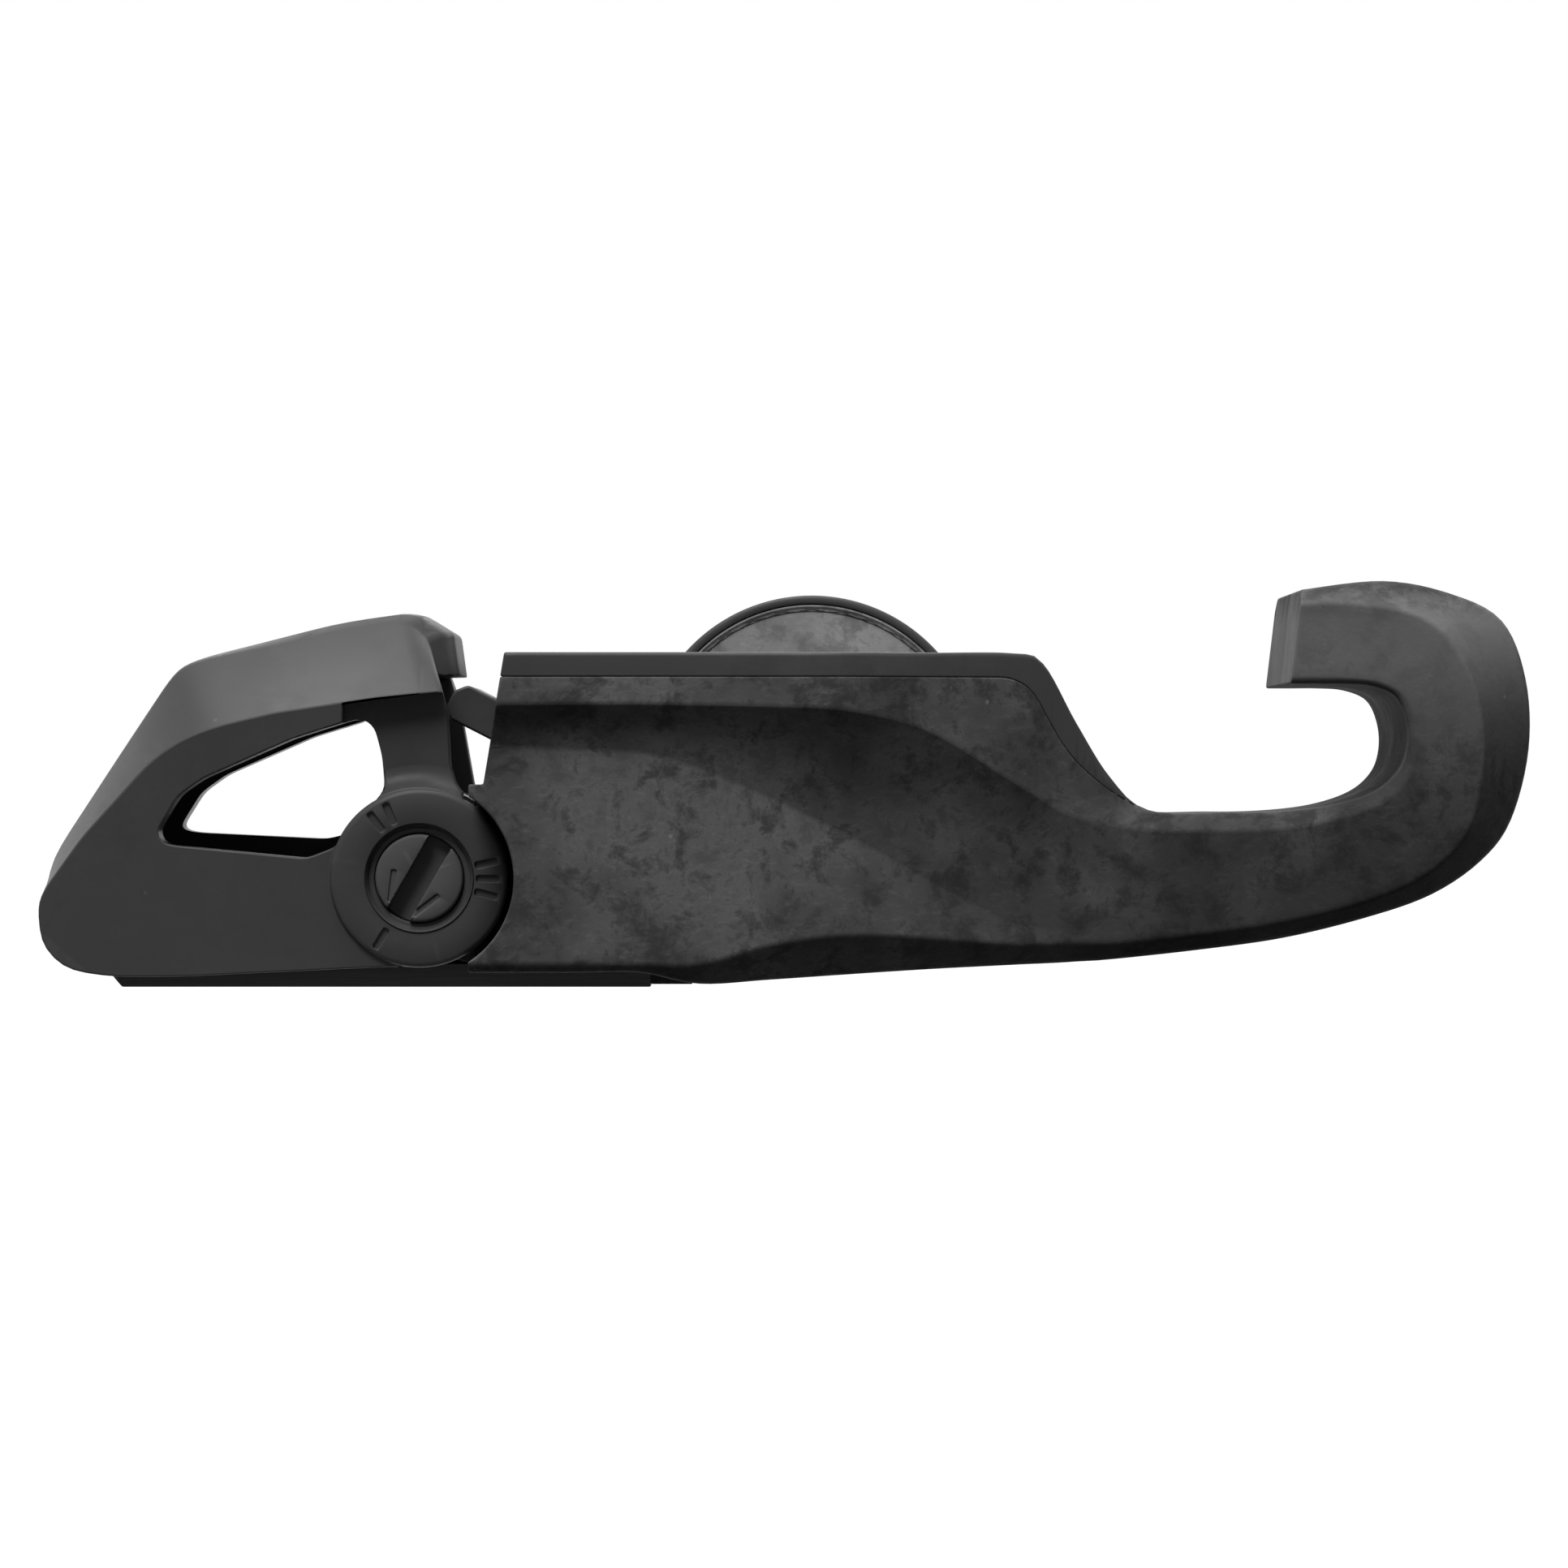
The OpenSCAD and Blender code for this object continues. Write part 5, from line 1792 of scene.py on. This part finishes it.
@dataclass(frozen=True)
class Adjuster:
    """The axle that turns the cam, with its slotted head in the dial."""

    datum: Datum
    head_r: float = 3.1
    head_thick: float = 1.6
    axle_r: float = 2.5
    # Depth and width of the groove for the clip
    groove: tuple[float, float] = (0.5, 0.7)
    slot: tuple[float, float] = (1.8, 1.3)
    slot_bearing: float = 60
    # The arrow's arms: length and width, depth, where they begin along and beside the slot, and
    # how far they turn from it
    arrow: tuple[float, float] = (2.3, 0.4)
    arrow_depth: float = 0.13
    arrow_start: tuple[float, float] = (0.35, 1.83)
    arrow_spread: float = 23

    def build(self, finish: Material) -> Object:
        """The axle with its head, slot and arrow.

        Args:
            finish: Its material.

        Returns:
            The piece.
        """
        d = self.datum
        face, r = d.head_face, self.head_r
        under, end = face + self.head_thick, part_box("adjuster_axle")[1].y / MM
        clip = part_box("adjuster_clip")[0].y / MM
        axle, deep, wide = self.axle_r, *self.groove
        profile = [
            (0, face), (r - 0.22, face), (r - 0.06, face + 0.07), (r, face + 0.22), (r, under),
            (axle, under), (axle, clip - 0.02), (axle - deep, clip - 0.02), (axle - deep, clip - 0.02 + wide),
            (axle, clip - 0.02 + wide), (axle, end - 0.2), (axle - 0.2, end), (0, end),
        ]
        width, depth = self.slot
        bar = moved([(x * 5, z * width / 2) for x, z in SQUARE], d.pivot)
        tools = [Blank.prism(bar, face - 1, face + depth).turned(self.slot_bearing, d.pivot)]
        length, half = self.arrow[0], self.arrow[1] / 2
        ahead, beside = self.arrow_start
        nib = rounded([(0, -half), (length, -half), (length, half), (0, half)], 0.15, 3)
        for side in (-1, 1):
            start = (d.pivot[0] + ahead, d.pivot[1] + side * beside)
            tool = Blank.prism(moved(nib, start), face - 1, face + self.arrow_depth)
            tool.turned(-side * self.arrow_spread, start)
            tools.append(tool.turned(self.slot_bearing + 180, d.pivot))
        blank = Blank.lathe(profile, d.pivot, steps=96).fit(Fit.CUT, *tools)
        blank.soften(0.06, 40)
        return blank.finish("dial_head", "adjuster", finish, "dark_steel", "adjuster_axle")


# ------------------------------------------------------------------ blade, trigger and spindle


@dataclass(frozen=True)
class LeafBlade:
    """The carbon blade that springs the rear arm, held by two screws."""

    datum: Datum
    screw_half: float = 6
    screw_ahead: float = 11.4
    screw_r: float = 2
    # How far its tail and its front go past the sheet that the frame holds
    tail_past: float = 0.5
    front_past: float = 0.3
    # Length and height of the bevel under its tail
    tail_bevel: tuple[float, float] = (0.8, 0.9)

    def build(self, finish: Material) -> Object:
        """The blade, beveled at its tail and countersunk from below.

        Args:
            finish: Its material.

        Returns:
            The piece.
        """
        d = self.datum
        low, high = d.sole, d.leaf_top
        tail, front = d.leaf_tail - self.tail_past, d.leaf_front + self.front_past
        along, up = self.tail_bevel
        side = [(front, high), (front, low), (tail + along, low), (tail, low + up), (tail, high)]
        near, far = d.across(d.leaf_half)
        plan = [(tail, near), (front + 1, near), (front + 1, far), (tail, far)]
        plan = rounded(plan, [0.7, 0.1, 0.1, 0.7], 4)
        blank = Blank.prism(side, near - 1, far + 1).fit(Fit.KEEP, Blank.plate(plan, low - 1, high + 1))
        r = self.screw_r
        tools = []
        for flip in (-1, 1):
            x, y = d.pivot[0] + self.screw_ahead, d.mid_y + flip * self.screw_half
            tools.append(Blank.post(x, y, (low - 1, r + 0.05), (high + 1, r + 0.05)))
            tools.append(Blank.post(x, y, (low - 0.1, 1.6 * r + 0.2), (low + 0.6 * r + 0.2, r)))
        blank.fit(Fit.CUT, *tools).soften(0.09)
        return blank.finish("leaf_blade", "body", finish, "carbon_leaf", "leaf_spring")


@dataclass(frozen=True)
class Trigger:
    """The plate that rides under the claw and snaps open behind a cleat."""

    datum: Datum
    thick: float = 2.45
    half: float = 9.5
    length: float = 11.1
    slope: float = 27
    knuckle: float = 2.35
    coil_half: float = 3
    # Room round the coil, and radius of the hole for the pin
    coil_gap: float = 0.6
    pin_hole: float = 1.3

    def build(self, finish: Material) -> Object:
        """The plate with its knuckle, open in the middle for the coil.

        Args:
            finish: Its material.

        Returns:
            The piece.
        """
        d = self.datum
        pin, t, n = d.trigger_pivot, self.thick / 2, self.length
        tip = [(-n + 0.6, -t), (-n, -t + 0.6), (-n, t - 0.5), (-n + 0.7, t + 0.3)]
        plate = rounded([(0, -t), *tip, (-2, t + 0.3), (0, t)], [0.05, 0.3, 0.3, 0.25, 0.25, 1, 0.05])
        wide = d.across(self.half)
        blank = Blank.prism(moved(plate, pin), *wide).turned(-self.slope, pin)
        blank.fit(Fit.JOIN, Blank.rod(pin, self.knuckle, *wide, 72))
        coil = Blank.rod(pin, self.knuckle + self.coil_gap, *d.across(self.coil_half), 72)
        blank.fit(Fit.CUT, coil, Blank.rod(pin, self.pin_hole, *d.across(CLEAR), 48)).soften(0.16)
        return blank.finish("trigger_plate", "release", finish, "smooth_composite", "trigger")


@dataclass(frozen=True)
class Spindle:
    """The steel spindle: threaded end with a hex socket, shoulder, seal seat, bearing seats and shank."""

    datum: Datum
    thread_r: float = 7.144
    pitch: float = 1.27
    shoulder_r: float = 9
    # Radii of the seal's seat, the two bearings' seats and the threaded tail
    steps: tuple[float, ...] = (6.9, 5.99, 2.99, 2.5)
    # Size of the hex socket across its flats, and its depth
    socket: tuple[float, float] = (8, 8)

    def thread(self) -> Blank:
        """A screw of the thread's form, longer than the threaded end.

        Returns:
            The screw.
        """
        blank = Blank()
        bm = blank.bm
        depth, turns = self.pitch * 0.61, int(self.datum.spindle_in / self.pitch) + 4
        start = -2 * self.pitch
        form = [(0.0, 0.06), (0.06, 0.0), (0.44, 1.0), (0.56, 1.0), (0.94, 0.0)]
        points = []
        for turn in range(turns):
            for along, down in form[1:]:
                points.append((self.thread_r - depth * (1 - down), start + (turn + along) * self.pitch))
        points.append((self.thread_r - depth, start + (turns + form[1][0]) * self.pitch))
        verts = [bm.verts.new((r, y, 0)) for r, y in points]
        edges = [bm.edges.new(pair) for pair in zip(verts, verts[1:])]
        steps = 72
        bmesh.ops.spin(
            bm, geom=verts + edges, cent=(0, 0, 0), axis=(0, 1, 0), dvec=(0, self.pitch / steps, 0),
            angle=-2 * math.pi, steps=steps,
        )
        blank.merged(1e-3)
        bmesh.ops.holes_fill(bm, edges=[e for e in bm.edges if e.is_boundary], sides=0)
        return blank.outward()

    def build(self, finish: Material) -> Object:
        """The whole spindle as one piece.

        Args:
            finish: Its material.

        Returns:
            The piece.
        """
        d = self.datum
        end, out = d.spindle_in, d.spindle_out
        r = self.thread_r
        neck = [
            (0, end), (r - 1, end), (r + 0.02, end - 1), (r + 0.02, 1.6), (r - 0.75, 1.2),
            (r - 0.75, 0.15), (r - 0.6, 0), (r - 0.6, -2), (0, -2),
        ]
        screw = self.thread().fit(Fit.KEEP, Blank.lathe(neck))
        race_in, race_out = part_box("inboard_inner_race")[1].y / MM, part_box("inboard_inner_race")[0].y / MM
        small_in, small_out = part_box("outboard_inner_race")[1].y / MM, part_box("outboard_inner_race")[0].y / MM
        s = self.shoulder_r
        seal, seat, small_seat, tail = self.steps
        turned = [
            (0, 0.6), (r - 0.9, 0.6), (r - 0.8, 0), (s - 0.15, 0), (s, -0.15), (s, -1.6),
            (s - 0.6, -2.2), (s - 1.3, -2.9), (seal + 0.05, d.boss_in + 1.6), (seal, d.boss_in + 1),
            (seal, race_in), (seat, race_in), (seat, race_out - 0.6), (5.5, race_out - 1),
            (4.6, race_out - 1.8), (4.5, race_out - 2.2), (3.7, small_in), (small_seat, small_in),
            (small_seat, small_out), (tail, small_out), (tail, out + 0.4), (tail - 0.4, out), (0, out),
        ]
        blank = Blank.lathe(turned, steps=128).fit(Fit.JOIN, screw)
        flats, deep = self.socket
        across = flats / math.sqrt(3)
        blank.fit(
            Fit.CUT,
            Blank.rod((0, 0), across, end - deep, end + 1, 6),
            Blank.rod((0, 0), across * 0.9, end - 0.5, end + 0.4, 64, across * 1.12),
            Blank.rod((0, 0), 1.6, end - deep - 6, end - deep + 1, 32),
        )
        blank.soften(0.07, 42)
        return blank.finish("turned_spindle", "axle", finish, "steel_bright", "spindle")


# ------------------------------------------------------------------ CAD solids that show as they are


@dataclass(frozen=True)
class CarriedNodes:
    """CAD solids whose shape is right, which get their finish."""

    palette: Palette

    def dress(self) -> None:
        """Gives each node its material."""
        p = self.palette
        finishes = (
            (p.bearing_steel, ("inboard_inner_race", "inboard_outer_race", "inboard_balls")),
            (p.bearing_steel, ("outboard_inner_race", "outboard_outer_race", "outboard_balls")),
            (p.brass, ("inboard_cage", "outboard_cage")),
            (p.spindle_steel, ("axle_washer", "axle_locknut")),
            (p.black_steel, ("plate_screws", "leaf_screws", "tension_cam")),
            (p.spring_steel, ("trigger_pin", "trigger_spring", "adjuster_clip")),
            (p.rubber, ("lip_seal", "adjuster_seal")),
            (p.alloy, ("lock_collar",)),
            (p.bronze, ("pivot_bushes",)),
        )
        for name, finish in ((name, finish) for finish, names in finishes for name in names):
            slots = frame["nodes"][name].data.materials
            slots.clear()
            slots.append(finish)
            log.info("%s: dressed in %s", name, finish.name)


# ------------------------------------------------------------------ studio


@dataclass(frozen=True)
class Softbox:
    """A lamp: where it stands, what it faces, its size and its power in watts."""

    name: str
    at: tuple[float, float, float]
    size: tuple[float, float]
    power: float
    facing: tuple[float, float, float] = (0.0, -0.05, 0.0)

    def build(self) -> None:
        """Adds the lamp."""
        data = bpy.data.lights.new(self.name, "AREA")
        data.shape, data.size, data.size_y, data.energy = "RECTANGLE", *self.size, self.power
        lamp = bpy.data.objects.new(self.name, data)
        lamp.location = self.at
        lamp.rotation_euler = (Vector(self.facing) - Vector(self.at)).to_track_quat("-Z", "Y").to_euler()
        bpy.context.scene.collection.objects.link(lamp)


@dataclass(frozen=True)
class Studio:
    """White surroundings, a pale floor below the pedal, and soft lamps."""

    floor_drop: float = 0.085
    floor_half: float = 8
    floor_tone: float = 0.35
    floor_bounce: float = 0.03
    floor_lift: float = 0.72
    floor_pool: tuple[float, float] = (0.12, 0.27)
    ambient: float = 0.07
    lamps: tuple[Softbox, ...] = (
        Softbox("overhead", (0.04, -0.14, 0.62), (0.3, 0.26), 2.4),
        Softbox("front_key", (-0.2, -0.46, 0.62), (0.3, 0.3), 6.4),
        Softbox("sheen", (-0.15, -0.03, 0.6), (0.16, 0.16), 2.5, (-0.04, -0.06, 0.005)),
        Softbox("front_side", (0.52, -0.36, 0.2), (0.14, 0.3), 0.6, (0.02, -0.07, 0.0)),
        Softbox("behind", (0.2, 0.75, 0.5), (1.0, 0.6), 2.6),
    )

    def seen(self, nodes: Nodes) -> Socket:
        """What tells the background that is seen from the light that falls.

        Args:
            nodes: The nodes of the world or of a material.

        Returns:
            One for rays from the camera, mirrors and glass, and nought for the rest.
        """
        path = nodes.add("ShaderNodeLightPath").outputs
        mirrored = nodes.maths("MAXIMUM", path["Is Glossy Ray"], path["Is Transmission Ray"])
        return nodes.maths("MAXIMUM", path["Is Camera Ray"], mirrored)

    def world(self) -> None:
        """White to the camera and dim to the lit surfaces."""
        world = bpy.data.worlds.new("surroundings")
        world.use_nodes = True
        bpy.context.scene.world = world
        nodes = Nodes(world.node_tree)
        strength = nodes.plus(self.ambient, nodes.times(self.seen(nodes), 1.0 - self.ambient))
        nodes.feed(world.node_tree.nodes["Background"], {"Color": WHITE, "Strength": strength})

    def floor(self) -> None:
        """A wide pale floor that keeps the pedal's shadow."""
        bm = bmesh.new()
        matrix = Matrix.Translation((0, 0, -self.floor_drop))
        bmesh.ops.create_grid(bm, x_segments=1, y_segments=1, size=self.floor_half, matrix=matrix)
        mesh = bpy.data.meshes.new("floor")
        bm.to_mesh(mesh)
        bm.free()
        floor = bpy.data.objects.new("floor", mesh)
        bpy.context.scene.collection.objects.link(floor)
        material = bpy.data.materials.new("floor")
        material.use_nodes = True
        nodes = Nodes(material.node_tree)
        shader = material.node_tree.nodes["Principled BSDF"]
        where = nodes.add("ShaderNodeTexCoord").outputs["Object"]
        ends = {0: where, 1: (0, -0.05, -self.floor_drop)}
        away = nodes.add("ShaderNodeVectorMath", ends, operation="DISTANCE").outputs["Value"]
        lift = nodes.spread(away, *self.floor_pool, self.floor_lift, 1.0)
        nodes.feed(shader, {
            "Base Color": nodes.mix(self.seen(nodes), grey(self.floor_bounce), grey(self.floor_tone)),
            "Roughness": 0.9,
            "Specular IOR Level": 0.1,
            "Emission Color": WHITE,
            "Emission Strength": nodes.times(self.seen(nodes), lift),
        })
        under = nodes.add("ShaderNodeNewGeometry").outputs["Backfacing"]
        clear = nodes.add("ShaderNodeBsdfTransparent").outputs[0]
        sides = nodes.add("ShaderNodeMixShader", {0: under, 1: shader.outputs[0], 2: clear})
        nodes.feed(material.node_tree.nodes["Material Output"], {0: sides.outputs[0]})
        mesh.materials.append(material)
        floor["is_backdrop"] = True

    def build(self) -> None:
        """Sets the whole studio up."""
        self.world()
        self.floor()
        for lamp in self.lamps:
            lamp.build()
        bpy.context.scene.view_settings.view_transform = "Standard"


# ------------------------------------------------------------------ the pedal


def main() -> None:
    """Builds the pedal and its studio, and measures where things show."""
    logging.basicConfig(level=logging.INFO, format="%(message)s")
    datum = Datum.from_frame()
    view = Viewpoint()
    palette = Palette.make()
    skin = Skin(datum)
    body = PedalBody(datum, skin)
    body.shell(palette.forged)
    # The boss's pale composite paints light on it
    body.boss(palette.pale)
    # The band's satin, darker than the boss's pale composite, paints shade at the rim
    body.boss_band(palette.satin)
    body.lug(palette.forged)
    ContactPlate(datum, skin).build(palette.satin)
    marks = RearArm(datum).build(palette.satin, view)
    Adjuster(datum).build(palette.dial)
    LeafBlade(datum).build(palette.blade)
    Trigger(datum).build(palette.satin)
    Spindle(datum).build(palette.spindle_steel)
    CarriedNodes(palette).dress()
    Studio().build()
    bpy.context.view_layer.update()
    view.measure(marks)


if __name__ == "__main__":
    main()
